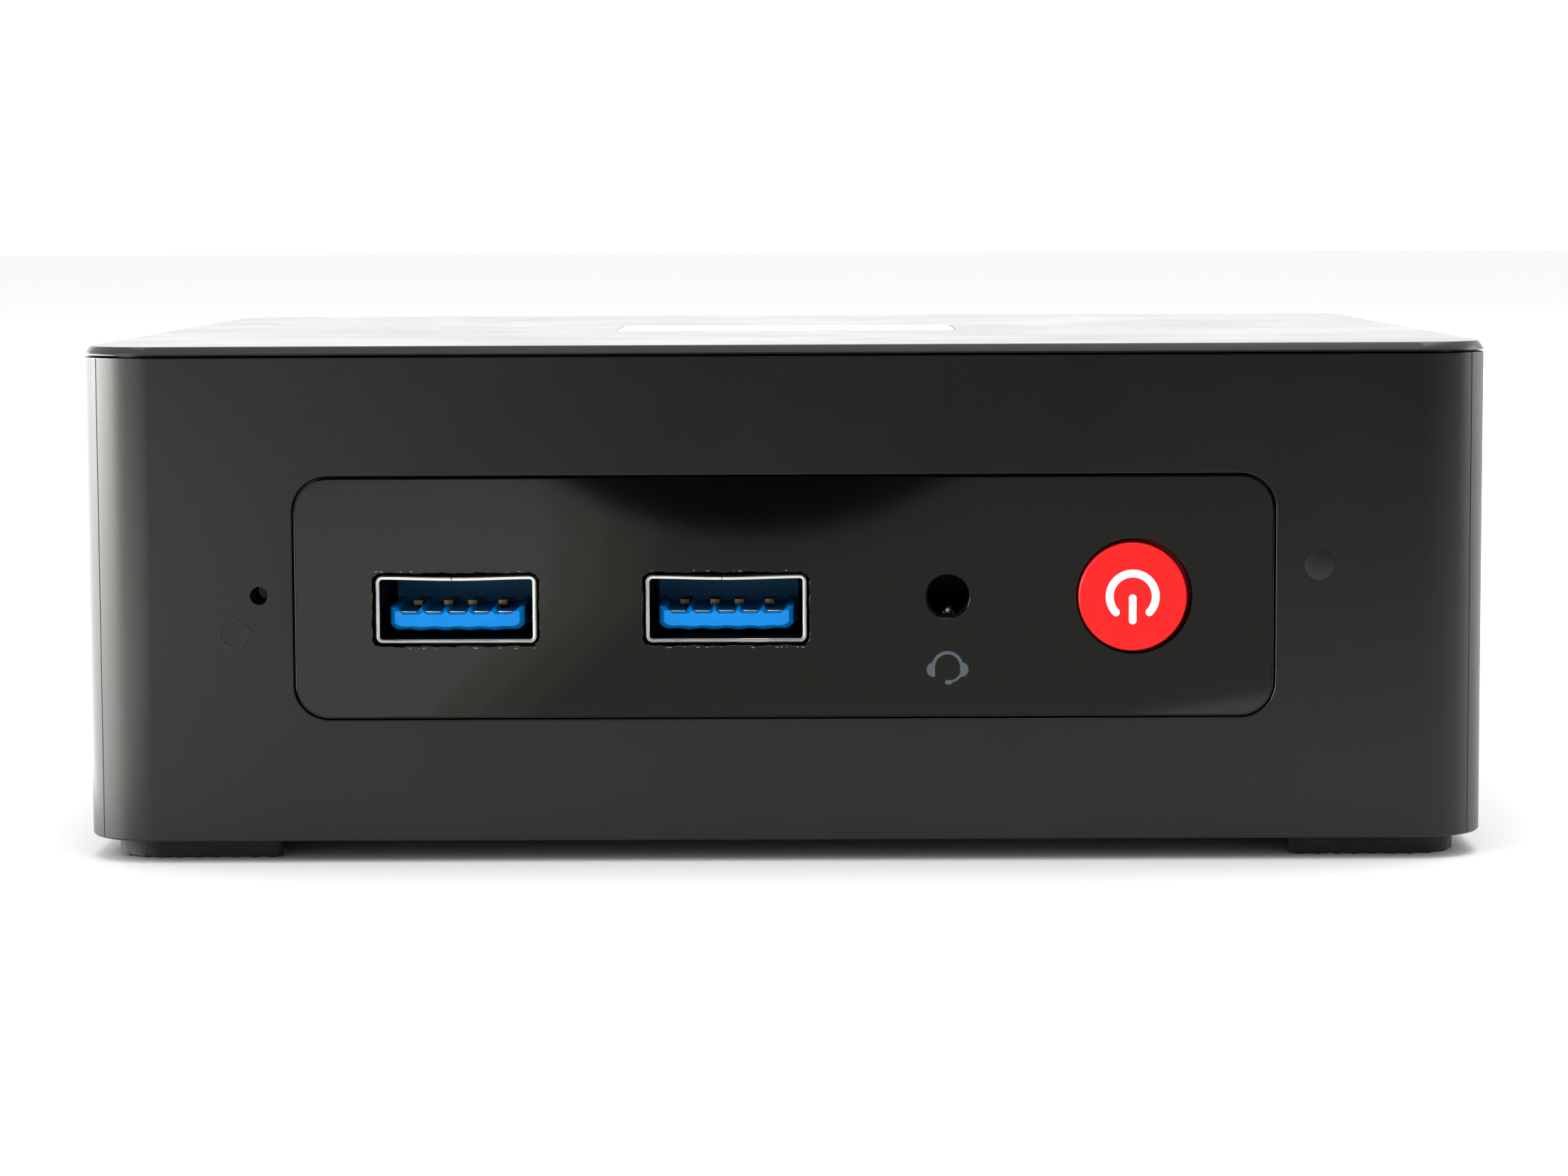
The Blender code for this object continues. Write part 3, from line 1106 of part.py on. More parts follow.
def build():
    clear_scene()
    add_root()
    make_main_shell()
    make_top_cover()
    make_top_badge()
    make_front_panel()
    make_bottom_cover()
    make_feet()
    make_screws()
    make_front_usb()
    make_audio_jack()
    make_power_button()
    make_side_switch("power_switch", BUTTON_X, PANEL_Z)
    make_side_switch("reset_switch", RESET_X, RESET_Z)
    make_light_pipe()
    make_rear_usb()
    make_hdmi()
    make_ethernet()
    make_dc_jack()
    make_motherboard()
    make_processor()
    make_heatsink()
    make_fan_frame()
    make_fan_core()
    make_fan_rotor()
    make_fan_cable()
    make_coin_cell()
    make_memory()
    make_ssd()
    make_radio()


build()
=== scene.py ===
"""Mini pc, visual model: moulded case, sockets, signs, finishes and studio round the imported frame.

Shapes are worked out in millimetres as numpy arrays and become metres when the mesh is made.
A form is a stack of rings: every ring has the same number of points, and faces join neighbours.
"""

import math

import bmesh
import bpy
import numpy as np
from bpy.props import FloatProperty, FloatVectorProperty, IntProperty, PointerProperty
from mathutils import Matrix, Vector


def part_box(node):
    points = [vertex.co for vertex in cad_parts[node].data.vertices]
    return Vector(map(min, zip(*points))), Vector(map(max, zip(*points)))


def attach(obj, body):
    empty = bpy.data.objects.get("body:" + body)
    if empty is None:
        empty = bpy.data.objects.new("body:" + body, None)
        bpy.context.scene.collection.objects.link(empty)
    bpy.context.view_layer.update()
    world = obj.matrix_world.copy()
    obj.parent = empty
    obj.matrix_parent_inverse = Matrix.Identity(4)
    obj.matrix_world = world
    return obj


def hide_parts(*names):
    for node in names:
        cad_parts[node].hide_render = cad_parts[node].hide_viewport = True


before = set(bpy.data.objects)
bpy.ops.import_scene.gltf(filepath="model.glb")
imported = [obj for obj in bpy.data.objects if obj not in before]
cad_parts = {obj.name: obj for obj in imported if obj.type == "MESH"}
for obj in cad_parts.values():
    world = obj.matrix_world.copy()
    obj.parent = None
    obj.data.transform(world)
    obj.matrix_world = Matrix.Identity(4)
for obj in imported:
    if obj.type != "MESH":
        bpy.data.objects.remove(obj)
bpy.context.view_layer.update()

bl_info = {
    "name": "Mini PC",
    "version": (1, 0, 0),
    "blender": (4, 5, 0),
    "location": "3D View > Sidebar > Mini PC",
    "description": "Builds the outer surfaces, sockets, signs and finishes of a mini pc",
    "category": "Object",
}

MM = 0.001
JACK_X = 13.3
BUTTON_HOLE = 9.4
BEHIND_PANEL = 1.0
LIP = 0.07
SIDES = ("left", "right")


# ---------------------------------------------------------------- numbers, colours and properties


def linear(code):
    """An sRGB hex colour as linear RGBA: c / 12.92 up to 0.04045, else ((c + 0.055) / 1.055) ^ 2.4."""
    values = np.array([int(code[i : i + 2], 16) for i in (1, 3, 5)]) / 255
    light = np.where(values <= 0.04045, values / 12.92, ((values + 0.055) / 1.055) ** 2.4)
    return (*light.tolist(), 1.0)


def box_of(node):
    """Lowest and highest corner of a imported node, in millimetres."""
    low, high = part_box(node)
    return np.array(low) / MM, np.array(high) / MM


def middle(node):
    """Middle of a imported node, in millimetres."""
    low, high = box_of(node)
    return (low + high) / 2


def mouth_of(node, way=1):
    """Middle of a node's front face, or of its rear face with a way of -1, and the node's size."""
    low, high = box_of(node)
    centre = (low + high) / 2
    centre[1] = low[1] if way > 0 else high[1]
    return centre, high - low


def number(name, description, default, **more):
    """A property of zero or more."""
    return FloatProperty(name=name, description=description, default=default, min=0.0, **more)


def length(name, description, millimetres):
    """A length property whose default is given in millimetres."""
    return number(name, description, millimetres * MM, precision=5, subtype="DISTANCE", unit="LENGTH")


def colour(name, description, code):
    """A colour property whose default is an sRGB hex colour."""
    return FloatVectorProperty(name=name, description=description, default=linear(code), size=4, min=0.0, max=1.0,
                               subtype="COLOR")


class MiniPcCase(bpy.types.PropertyGroup):
    """Sizes and colours of the moulded case."""

    corner_radius: length("Corner radius", "Radius of the four upright corners", 6.0)
    side_wall: length("Side wall", "Thickness of the side and rear walls", 2.0)
    front_wall: length("Front wall", "Thickness of the front wall", 3.0)
    edge_round: length("Edge round", "Rounding of the shell's lower edge", 0.14)
    seam: length("Seam", "Gap between the shell and the top cover", 0.15)
    lid_edge: length("Lid edge", "Height of the top cover's visible edge", 0.74)
    lid_round: length("Lid round", "Width of the slope along the top cover's edge", 0.45)
    parting_line: length("Parting line", "Depth of the mould's upright parting lines", 0.07)
    plate_gap: length("Plate gap", "Gap round the plate in the top cover", 0.1)
    plastic: colour("Case plastic", "Colour of the moulded case", "#080907")
    plastic_shade: colour("Case plastic, darker", "The second tone of the moulded case", "#050605")
    rubber: colour("Rubber", "Colour of the feet", "#1a1a18")
    rib_pitch: length("Rib pitch", "Distance between the ribs under a foot", 1.53)
    rib_width: length("Rib width", "Width of a rib under a foot", 0.42)
    rib_height: length("Rib height", "Height of the ribs under a foot", 0.13)
    sole_reach: length("Sole reach", "How far a foot's sole reaches past its plug on the outer sides", 0.4)
    sole_lean: length("Sole lean", "How far a foot's inner corner is drawn outwards", 2.2)


class MiniPcFront(bpy.types.PropertyGroup):
    """Sizes and colours of the front panel, its signs and the power button."""

    groove: length("Groove", "Gap between the front panel and the shell", 0.16)
    panel_radius: length("Panel corner", "Corner radius of the front panel", 2.75)
    mouth_round: length("Hole edge", "Rounding of the edge of a hole", 0.12)
    print_height: length("Print height", "Thickness of a printed sign", 0.015)
    button_shift: length("Button shift", "How far the cap sits to the left in its hole", 0.17)
    panel: colour("Panel plastic", "Colour of the glossy front panel", "#060706")
    sign: colour("Sign ink", "Colour of the headset sign", "#4c5860")
    button: colour("Button", "Colour of the power button", "#f30f10")
    button_sign: colour("Button sign", "Colour of the sign on the power button", "#ffffff")


class MiniPcSockets(bpy.types.PropertyGroup):
    """Sizes and colours of the sockets."""

    metal: length("Sleeve metal", "Thickness of a folded metal sleeve", 0.3)
    bow: length("Sleeve bow", "How far the seam side of a sleeve bows inwards", 0.12)
    gap: length("Sleeve gap", "Gap between a sleeve and the panel round it", 0.26)
    carrier: colour("Contact carrier", "Colour of a contact carrier", "#0092e8")
    peaks: IntProperty(name="Separators", description="Ridges between a carrier's contacts", default=4, min=1, max=6)


class MiniPcStudio(bpy.types.PropertyGroup):
    """Light, floor and camera."""

    world: number("Surroundings", "Brightness of the white surroundings", 1.06)
    key: number("Key light", "Power of the soft light at the front left", 2.5, unit="POWER")
    top: number("Top light", "Power of the soft light overhead", 8.0, unit="POWER")
    side_card: number("Side card", "Brightness of the card that the left edge reflects", 20.0)
    side_card_rear: number("Side card, rear", "Brightness of the side card's rear part", 6.0)
    side_floor: number("Side floor", "Brightness of the lit floor at the left", 4.0)
    back_card: number("Back card", "Brightness of the card that the top reflects", 1.75)
    right_card: number("Right card", "Brightness of the card that the right edge reflects", 3.2)
    floor: colour("Floor", "Colour of the floor", "#f4f4f4")
    lens: number("Lens", "Focal length on a 36 mm sensor", 93.75, subtype="DISTANCE_CAMERA")


# ---------------------------------------------------------------- outlines


def rectangle(width, height, centre=(0.0, 0.0)):
    """Corners of a rectangle, counter-clockwise."""
    signs = np.array([(-1, -1), (1, -1), (1, 1), (-1, 1)])
    return np.array(centre) + signs * np.array([width, height]) / 2


def plan(low, high):
    """Corners of a rectangle between two corners, counter-clockwise."""
    return np.array([(low[0], low[1]), (high[0], low[1]), (high[0], high[1]), (low[0], high[1])], float)


def filleted(corners, radii, steps=8):
    """Convex outline with round corners, as points and outward normals.

    With n1 and n2 the outward normals of the two sides at a corner, the middle of its arc lies
    radius * (n1 + n2) / (1 + n1 . n2) inside it, and the arc is middle + radius * n, where n turns
    evenly from n1 to n2.
    """
    corners = np.asarray(corners, float)
    radii = np.broadcast_to(np.asarray(radii, float), len(corners))[:, None]
    side = np.roll(corners, -1, axis=0) - corners
    side /= np.linalg.norm(side, axis=1, keepdims=True)
    after = np.stack([side[:, 1], -side[:, 0]], axis=1)
    before = np.roll(after, 1, axis=0)
    dot = np.sum(before * after, axis=1, keepdims=True)
    cross = before[:, 0] * after[:, 1] - before[:, 1] * after[:, 0]
    centre = corners - radii * (before + after) / (1 + dot)
    turn = np.arctan2(cross, dot[:, 0])
    angle = np.arctan2(before[:, 1], before[:, 0])[:, None] + turn[:, None] * np.linspace(0, 1, steps + 1)
    normals = np.stack([np.cos(angle), np.sin(angle)], axis=-1)
    points = centre[:, None] + radii[:, None] * normals
    return points.reshape(-1, 2), normals.reshape(-1, 2)


def rounded(width, height, radius, steps, centre=(0.0, 0.0)):
    """Rectangle with round corners, as points and normals."""
    return filleted(rectangle(width, height, centre), radius, steps)


def circle(diameter, centre=(0.0, 0.0), steps=48):
    """Circle as points and normals: centre + radius * (cos a, sin a)."""
    angle = np.arange(steps) * 2 * np.pi / steps
    normals = np.stack([np.cos(angle), np.sin(angle)], axis=1)
    return np.array(centre) + normals * diameter / 2, normals


def refined(outline, spacing):
    """Outline with more points along its sides: places and normals are read off, in proportion, at
    the old arc lengths and at every multiple of spacing."""
    points, normals = outline
    closed = np.vstack([points, points[:1]])
    turned = np.vstack([normals, normals[:1]])
    along = np.concatenate([[0.0], np.cumsum(np.linalg.norm(np.diff(closed, axis=0), axis=1))])
    where = np.concatenate([along[:-1], np.arange(0, along[-1] - spacing / 2, spacing)])
    where = np.unique(np.round(where, 5))
    read = lambda table: np.stack([np.interp(where, along, table[:, k]) for k in (0, 1)], axis=1)
    outward = read(turned)
    return read(closed), outward / np.linalg.norm(outward, axis=1, keepdims=True)


# ---------------------------------------------------------------- rings and skins


def rings(outline, levels):
    """Rings of a form: each level is (distance inside the outline, height), and a ring is
    outline - distance * normal at that height."""
    points, normals = outline
    levels = np.asarray(levels, float)
    flat = points[None] - levels[:, 0, None, None] * normals[None]
    height = np.broadcast_to(levels[:, 1, None, None], (len(levels), len(points), 1))
    return np.concatenate([flat, height], axis=2)


def arc(start, end, bulge, steps=6):
    """Levels on a quarter of an ellipse from start to end; bulge says which value moves first.

    With t from 0 to 90 degrees, one value goes as sin t and the other as 1 - cos t.
    """
    t = np.linspace(0, np.pi / 2, steps)
    first, last = np.sin(t), 1 - np.cos(t)
    share = np.stack([first, last] if bulge == 0 else [last, first], axis=1)
    start, end = np.array(start, float), np.array(end, float)
    return start + share * (end - start)


def facing(stack, at, way=1):
    """Puts rings (u, v, depth) into a wall: x = at x + way * u, y = at y + way * depth, z = at z + v.
    A way of 1 goes in from the front and -1 from the rear."""
    u, v, depth = np.moveaxis(np.asarray(stack, float), -1, 0)
    return np.stack([at[0] + way * u, at[1] + way * depth, at[2] + v], axis=-1)


def skin(stack, loop=False):
    """Corner places and faces of a ring stack, as index arithmetic on the (ring, point) grid.
    Open ends get one flat face each; a loop joins the last ring to the first."""
    stack = np.asarray(stack, float)
    index = np.arange(stack.shape[0] * stack.shape[1]).reshape(stack.shape[:2])
    beside = np.roll(index, -1, axis=1)
    above, above_beside = np.roll(index, -1, axis=0), np.roll(beside, -1, axis=0)
    faces = np.stack([index, beside, above_beside, above], axis=-1)
    if loop:
        return stack.reshape(-1, 3), faces.reshape(-1, 4).tolist()
    ends = [index[0, ::-1].tolist(), index[-1].tolist()]
    return stack.reshape(-1, 3), faces[:-1].reshape(-1, 4).tolist() + ends


def form(outline, levels, at, way=1, loop=False):
    """Skin of an outline carried into a wall through its levels."""
    return skin(facing(rings(outline, levels), at, way), loop)


def blocks(centres, size, rise=0.0):
    """Skins of equal small blocks as one mesh: every corner is a centre + sign * size / 2.
    Rise lifts the far end of each block, for a sloping contact."""
    signs = np.array([(a, b, c) for c in (-1, 1) for a, b in ((-1, -1), (1, -1), (1, 1), (-1, 1))], float)
    corners = np.asarray(centres, float)[:, None] + signs * np.asarray(size, float) / 2
    corners[..., 1] += rise * (signs[:, 2] + 1) / 2
    cube = np.array([(0, 3, 2, 1), (4, 5, 6, 7), (0, 1, 5, 4), (1, 2, 6, 5), (2, 3, 7, 6), (3, 0, 4, 7)])
    faces = cube[None] + 8 * np.arange(len(corners))[:, None, None]
    return corners.reshape(-1, 3), faces.reshape(-1, 4).tolist()


def row_of_blocks(across, v, depth, size, at, way, rise=0.0):
    """A row of equal blocks in a wall, at one depth, and at one height or one height for each."""
    row = np.column_stack([across, np.full(len(across), v), np.full(len(across), depth)])
    places, faces = blocks(row, size, rise)
    return facing(places, at, way), faces


def stroke(path, half, thickness):
    """A printed line along a flat path, as a ring stack (u, v, depth).

    Each ring is a small rectangle across the path. Its half width is half, and within half of an
    end it is sqrt(half^2 - (half - distance)^2), which rounds the end.
    """
    path = np.asarray(path, float)
    along = np.concatenate([[0.0], np.cumsum(np.linalg.norm(np.diff(path, axis=0), axis=1))])
    ends = half * (1 - np.cos(np.linspace(0, np.pi / 2, 9)))
    inner = along[(along > half) & (along < along[-1] - half)]
    where = np.unique(np.round(np.concatenate([ends, inner, along[-1] - ends]), 6))
    where = np.clip(where, 0, along[-1])
    line = np.stack([np.interp(where, along, path[:, k]) for k in (0, 1)], axis=1)
    ahead = np.gradient(line, axis=0)
    ahead /= np.linalg.norm(ahead, axis=1, keepdims=True)
    across = np.stack([-ahead[:, 1], ahead[:, 0]], axis=1)
    left = np.clip(half - np.minimum(where, along[-1] - where), 0, half)
    reach = across * np.sqrt(np.maximum(half**2 - left**2, 1e-8))[:, None]
    sides = np.stack([line + reach, line - reach, line - reach, line + reach], axis=1)
    depth = np.array([0.0, 0.0, -thickness, -thickness])
    return np.concatenate([sides, np.broadcast_to(depth[:, None], sides.shape[:2] + (1,))], axis=2)


def bend(radius, start, end, centre=(0.0, 0.0), steps=48):
    """Points on an arc, angles in degrees: centre + radius * (cos a, sin a)."""
    angle = np.radians(np.linspace(start, end, steps))
    return np.array(centre) + radius * np.stack([np.cos(angle), np.sin(angle)], axis=1)


# ---------------------------------------------------------------- meshes


def merged(parts):
    """Places and faces of several skins as one."""
    places, faces, count = [], [], 0
    for points, sides in parts:
        places.append(points)
        faces += [[corner + count for corner in side] for side in sides]
        count += len(points)
    return np.concatenate(places), faces


def solid(name, parts):
    """A mesh object from skins given in millimetres: doubles merged, faces turned outwards."""
    places, faces = merged(parts)
    mesh = bpy.data.meshes.new(name)
    mesh.from_pydata((places * MM).tolist(), [], faces)
    work = bmesh.new()
    work.from_mesh(mesh)
    bmesh.ops.remove_doubles(work, verts=work.verts, dist=1e-7)
    bmesh.ops.dissolve_degenerate(work, edges=work.edges, dist=1e-8)
    bmesh.ops.recalc_face_normals(work, faces=work.faces)
    work.to_mesh(mesh)
    work.free()
    made = bpy.data.objects.new(name, mesh)
    bpy.context.scene.collection.objects.link(made)
    return made


def settle(made):
    """Applies an object's modifiers to its mesh."""
    bpy.context.view_layer.update()
    seen = made.evaluated_get(bpy.context.evaluated_depsgraph_get())
    mesh = bpy.data.meshes.new_from_object(seen)
    made.modifiers.clear()
    old, made.data = made.data, mesh
    bpy.data.meshes.remove(old)
    mesh.name = made.name


def cut(made, parts, operation="DIFFERENCE"):
    """Takes forms made of skins out of an object one after the other, or adds them."""
    for part in parts:
        tool = solid("cutter", [part])
        step = made.modifiers.new("cut", "BOOLEAN")
        step.operation, step.solver, step.object = operation, "EXACT", tool
        settle(made)
        mesh = tool.data
        bpy.data.objects.remove(tool)
        bpy.data.meshes.remove(mesh)


def finished(made, finish, body="case", nodes=(), slot=None, sharp=30.0, bevel=0.0):
    """Shades a piece, gives it its finish and ties it to the frame."""
    if bevel:
        step = made.modifiers.new("soft edges", "BEVEL")
        step.width, step.segments, step.limit_method = bevel * MM, 2, "ANGLE"
        step.angle_limit, step.harden_normals = math.radians(35), False
        settle(made)
    mesh = made.data
    mesh.materials.clear()
    mesh.materials.append(FINISHES[finish])
    mesh.polygons.foreach_set("use_smooth", np.ones(len(mesh.polygons), bool))
    mesh.set_sharp_from_angle(angle=math.radians(sharp))
    step = made.modifiers.new("even shading", "WEIGHTED_NORMAL")
    step.keep_sharp, step.weight = True, 80
    settle(made)
    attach(made, body)
    slot or SLOT_OF[finish]
    if nodes:
        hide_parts(*nodes)
    return made


def piece(name, parts, finish, **ties):
    """A finished piece straight from its skins."""
    return finished(solid(name, parts), finish, **ties)


def hole(outline, face, mouth, depth, way=1):
    """A cutter with a rounded mouth: wider by mouth at the wall's face, plain from there inwards."""
    levels = [(-mouth, -0.5), (-mouth, 0.0), *arc((-mouth, 0.0), (0.0, mouth), 0, 4)[1:], (0.0, depth)]
    return form(outline, levels, (0, face, 0), way)


# ---------------------------------------------------------------- finishes

FINISHES = {}
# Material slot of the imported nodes: the finish that those nodes get, then the other finishes in it.
SLOTS = {
    "case_plastic": ("textured_abs", "satin_abs_top"),
    "gloss_plastic": ("gloss_abs", "gloss_plate", "scraped_abs"),
    "dark_plastic": ("black_nylon",),
    "blue_plastic": ("blue_nylon", "blue_nylon_painted_shade"),
    "white_plastic": ("white_pbt", "white_ink", "grey_ink"),
    "smoked_plastic": ("smoked_acrylic",),
    "button_red": ("red_abs",),
    "rubber": ("tpe_rubber",),
    "nickel": ("nickel_plated_steel",),
    "brass": ("turned_brass", "bare_bronze", "gold_plated_contact"),
    "aluminium": ("milled_aluminium",),
    "screw_steel": ("zinc_plated_screw",),
    "circuit_board": ("solder_masked_board",),
}
SLOT_OF = {finish: slot for slot, finishes in SLOTS.items() for finish in finishes}


def add(tree, kind, inputs=None, **settings):
    """Adds a node: settings are its attributes, an input that is a socket is linked, a value is set."""
    made = tree.nodes.new("ShaderNode" + kind)
    for key, value in settings.items():
        setattr(made, key, value)
    for key, value in (inputs or {}).items():
        if isinstance(value, bpy.types.NodeSocket):
            tree.links.new(value, made.inputs[key])
        else:
            made.inputs[key].default_value = value
    return made


def per(millimetres):
    """Texture scale for marks of that size, as coordinates are in metres."""
    return 1 / (millimetres * MM)


def plain(name, **sockets):
    """A new material: its node tree and its shader, with plain values set on the shader's sockets."""
    material = bpy.data.materials.new(name)
    material.use_nodes = True
    tree = material.node_tree
    shader = tree.nodes["Principled BSDF"]
    for key, value in sockets.items():
        shader.inputs[key.replace("_", " ")].default_value = value
    FINISHES[name] = material
    return tree, shader


def surface(name, tones, tone_size, roughness, grain, relief, dust=0.0, dust_tone=None, stretch=(1, 1, 1), **sockets):
    """A finish with its colour, gloss and relief.

    The colour drifts between two tones in patches of tone_size, the roughness drifts with it
    between two values, and a grain of its own size gives the relief. Dust is a scatter of pale
    specks: near the middles of 2.5 mm cells, where a second pattern of patches allows it.
    """
    tree, shader = plain(name, **sockets)
    first, second = (linear(tone) if isinstance(tone, str) else tone for tone in tones)
    place = add(tree, "TexCoord").outputs["Object"]
    drift = add(tree, "TexNoise", {"Vector": place, "Scale": per(tone_size), "Detail": 4.0, "Roughness": 0.6})
    tone = add(tree, "Mix", {0: drift.outputs["Fac"], 6: first, 7: second}, data_type="RGBA").outputs[2]
    gloss = add(tree, "MapRange", {"Value": drift.outputs["Fac"], "From Min": 0.3, "From Max": 0.7,
                                   "To Min": roughness[0], "To Max": roughness[1]}).outputs[0]
    if dust:
        cells = add(tree, "TexVoronoi", {"Vector": place, "Scale": per(2.5), "Randomness": 1.0})
        speck = add(tree, "Math", {0: cells.outputs["Distance"], 1: 0.035}, operation="LESS_THAN").outputs[0]
        patch = add(tree, "TexNoise", {"Vector": place, "Scale": per(9.0), "Detail": 2.0})
        some = add(tree, "Math", {0: patch.outputs["Fac"], 1: 1 - dust}, operation="GREATER_THAN").outputs[0]
        shown = add(tree, "Math", {0: speck, 1: some}, operation="MULTIPLY").outputs[0]
        tone = add(tree, "Mix", {0: shown, 6: tone, 7: linear(dust_tone)}, data_type="RGBA").outputs[2]
    turned = add(tree, "Mapping", {"Vector": place, "Scale": stretch}).outputs[0]
    bumps = add(tree, "TexNoise", {"Vector": turned, "Scale": per(grain), "Detail": 2.0, "Roughness": 0.5})
    bump = add(tree, "Bump", {"Height": bumps.outputs["Fac"], "Strength": 1.0, "Distance": relief * MM})
    tree.links.new(tone, shader.inputs["Base Color"])
    tree.links.new(gloss, shader.inputs["Roughness"])
    tree.links.new(bump.outputs[0], shader.inputs["Normal"])


def make_finishes(case, front, sockets):
    """Every finish of the object, by its real material."""
    # Spark-eroded black ABS: satin, with a fine even grain and a few specks of dust.
    surface("textured_abs", (case.plastic, case.plastic_shade), 14.0, (0.32, 0.38), 0.35, 0.005, 0.32, "#3c3c38",
            IOR=1.5, Specular_IOR_Level=0.46, Specular_Tint=(0.96, 1.0, 0.93, 1.0))
    # The same ABS with a smoother grain on the top cover.
    surface("satin_abs_top", ("#151613", "#10110f"), 18.0, (0.20, 0.26), 0.35, 0.0012, 0.3, "#6c6b64",
            IOR=1.5, Specular_IOR_Level=0.5)
    # Polished black ABS: deep, glossy, with faint haze and dust.
    surface("gloss_abs", (front.panel, "#030403"), 22.0, (0.045, 0.065), 1.6, 0.0004, 0.35, "#4a4a46",
            IOR=1.5, Specular_IOR_Level=0.42, Specular_Tint=(0.97, 1.0, 0.93, 1.0))
    # Scraped ABS where an opening was punched: pale and matt.
    surface("scraped_abs", ("#8f8f8a", "#6f6f6a"), 0.6, (0.6, 0.7), 0.2, 0.003, IOR=1.5, Specular_IOR_Level=0.3)
    # Lacquered plate in the top: mirror-like.
    surface("gloss_plate", ("#1c1e20", "#141517"), 8.0, (0.08, 0.12), 0.8, 0.0005,
            IOR=1.5, Coat_Weight=0.3, Coat_Roughness=0.03)
    # Nickel-plated steel strip, stamped: bright, with fine rolling marks along the strip.
    surface("nickel_plated_steel", ("#f2f1ec", "#dddcd5"), 2.0, (0.26, 0.38), 0.30, 0.004, stretch=(1, 0.15, 1),
            Metallic=1.0)
    # Glass-filled nylon, dyed bright blue: satin.
    surface("blue_nylon", (sockets.carrier, "#0082dc"), 1.2, (0.35, 0.5), 0.25, 0.01, IOR=1.53, Specular_IOR_Level=0.15)
    # The same nylon deep in the socket, made darker as painted shade.
    surface("blue_nylon_painted_shade", ("#0078b2", "#00689c"), 1.2, (0.4, 0.55), 0.25, 0.01, IOR=1.53, Specular_IOR_Level=0.25)
    # Inside of a sleeve: dull, dark tin over steel, whose darkness is painted shade deep in the sleeve.
    surface("tin_painted_shade", ("#26272a", "#1b1c1f"), 2.0, (0.45, 0.6), 0.3, 0.004, Metallic=1.0)
    # Bronze contacts without plating, dull between the walls.
    surface("bare_bronze", ("#c9a67c", "#b08e66"), 1.0, (0.45, 0.55), 0.2, 0.002, Metallic=1.0)
    # Gold flash on phosphor bronze: warm, rather smooth.
    surface("gold_plated_contact", ("#d8b06a", "#b98c4a"), 1.0, (0.25, 0.35), 0.2, 0.002, Metallic=1.0)
    # Black nylon of switch and socket bodies: matt.
    surface("black_nylon", ("#0b0b0c", "#121213"), 4.0, (0.42, 0.55), 0.3, 0.008, IOR=1.53, Specular_IOR_Level=0.4)
    # Dyed red ABS, lightly grained.
    surface("red_abs", (front.button, "#ea0b0c"), 3.0, (0.38, 0.46), 0.25, 0.006, 0.36, "#ffb0a8",
            IOR=1.5, Specular_IOR_Level=0.26)
    # Pad-printed white ink: matt and slightly raised.
    surface("white_ink", (front.button_sign, "#f6f4f2"), 1.5, (0.5, 0.6), 0.2, 0.003, IOR=1.48)
    # Pad-printed grey ink on the panel.
    surface("grey_ink", (front.sign, "#445058"), 1.0, (0.5, 0.6), 0.2, 0.003, IOR=1.48)
    # Thermoplastic rubber: matt, dusty in its ridges.
    surface("tpe_rubber", (case.rubber, "#24241f"), 3.0, (0.6, 0.75), 0.3, 0.02, 0.5, "#6a675c",
            IOR=1.5, Specular_IOR_Level=0.3)
    # Smoked acrylic light window.
    surface("smoked_acrylic", ("#161815", "#191b18"), 1.5, (0.42, 0.5), 0.4, 0.0005, IOR=1.49, Specular_IOR_Level=0.38)
    # Zinc-plated screw steel: grey, slightly streaked.
    surface("zinc_plated_screw", ("#8d8f90", "#6e7072"), 1.5, (0.3, 0.42), 0.25, 0.006, Metallic=1.0)
    # Extruded aluminium, milled: pale, brushed along the fins.
    surface("milled_aluminium", ("#c9cccf", "#b4b7ba"), 6.0, (0.3, 0.42), 0.3, 0.006, stretch=(1, 0.08, 1),
            Metallic=1.0)
    # Turned brass.
    surface("turned_brass", ("#c9a04e", "#b08a3e"), 2.0, (0.24, 0.34), 0.2, 0.003, Metallic=1.0)
    # White PBT of holders and plungers.
    surface("white_pbt", ("#e4e2da", "#d6d4cb"), 4.0, (0.4, 0.5), 0.3, 0.006, IOR=1.55)
    # Black epoxy of chips and processor: matt with a fine sparkle.
    surface("moulded_epoxy", ("#161617", "#1d1d1f"), 2.0, (0.5, 0.6), 0.15, 0.004, IOR=1.55)
    circuit_board()


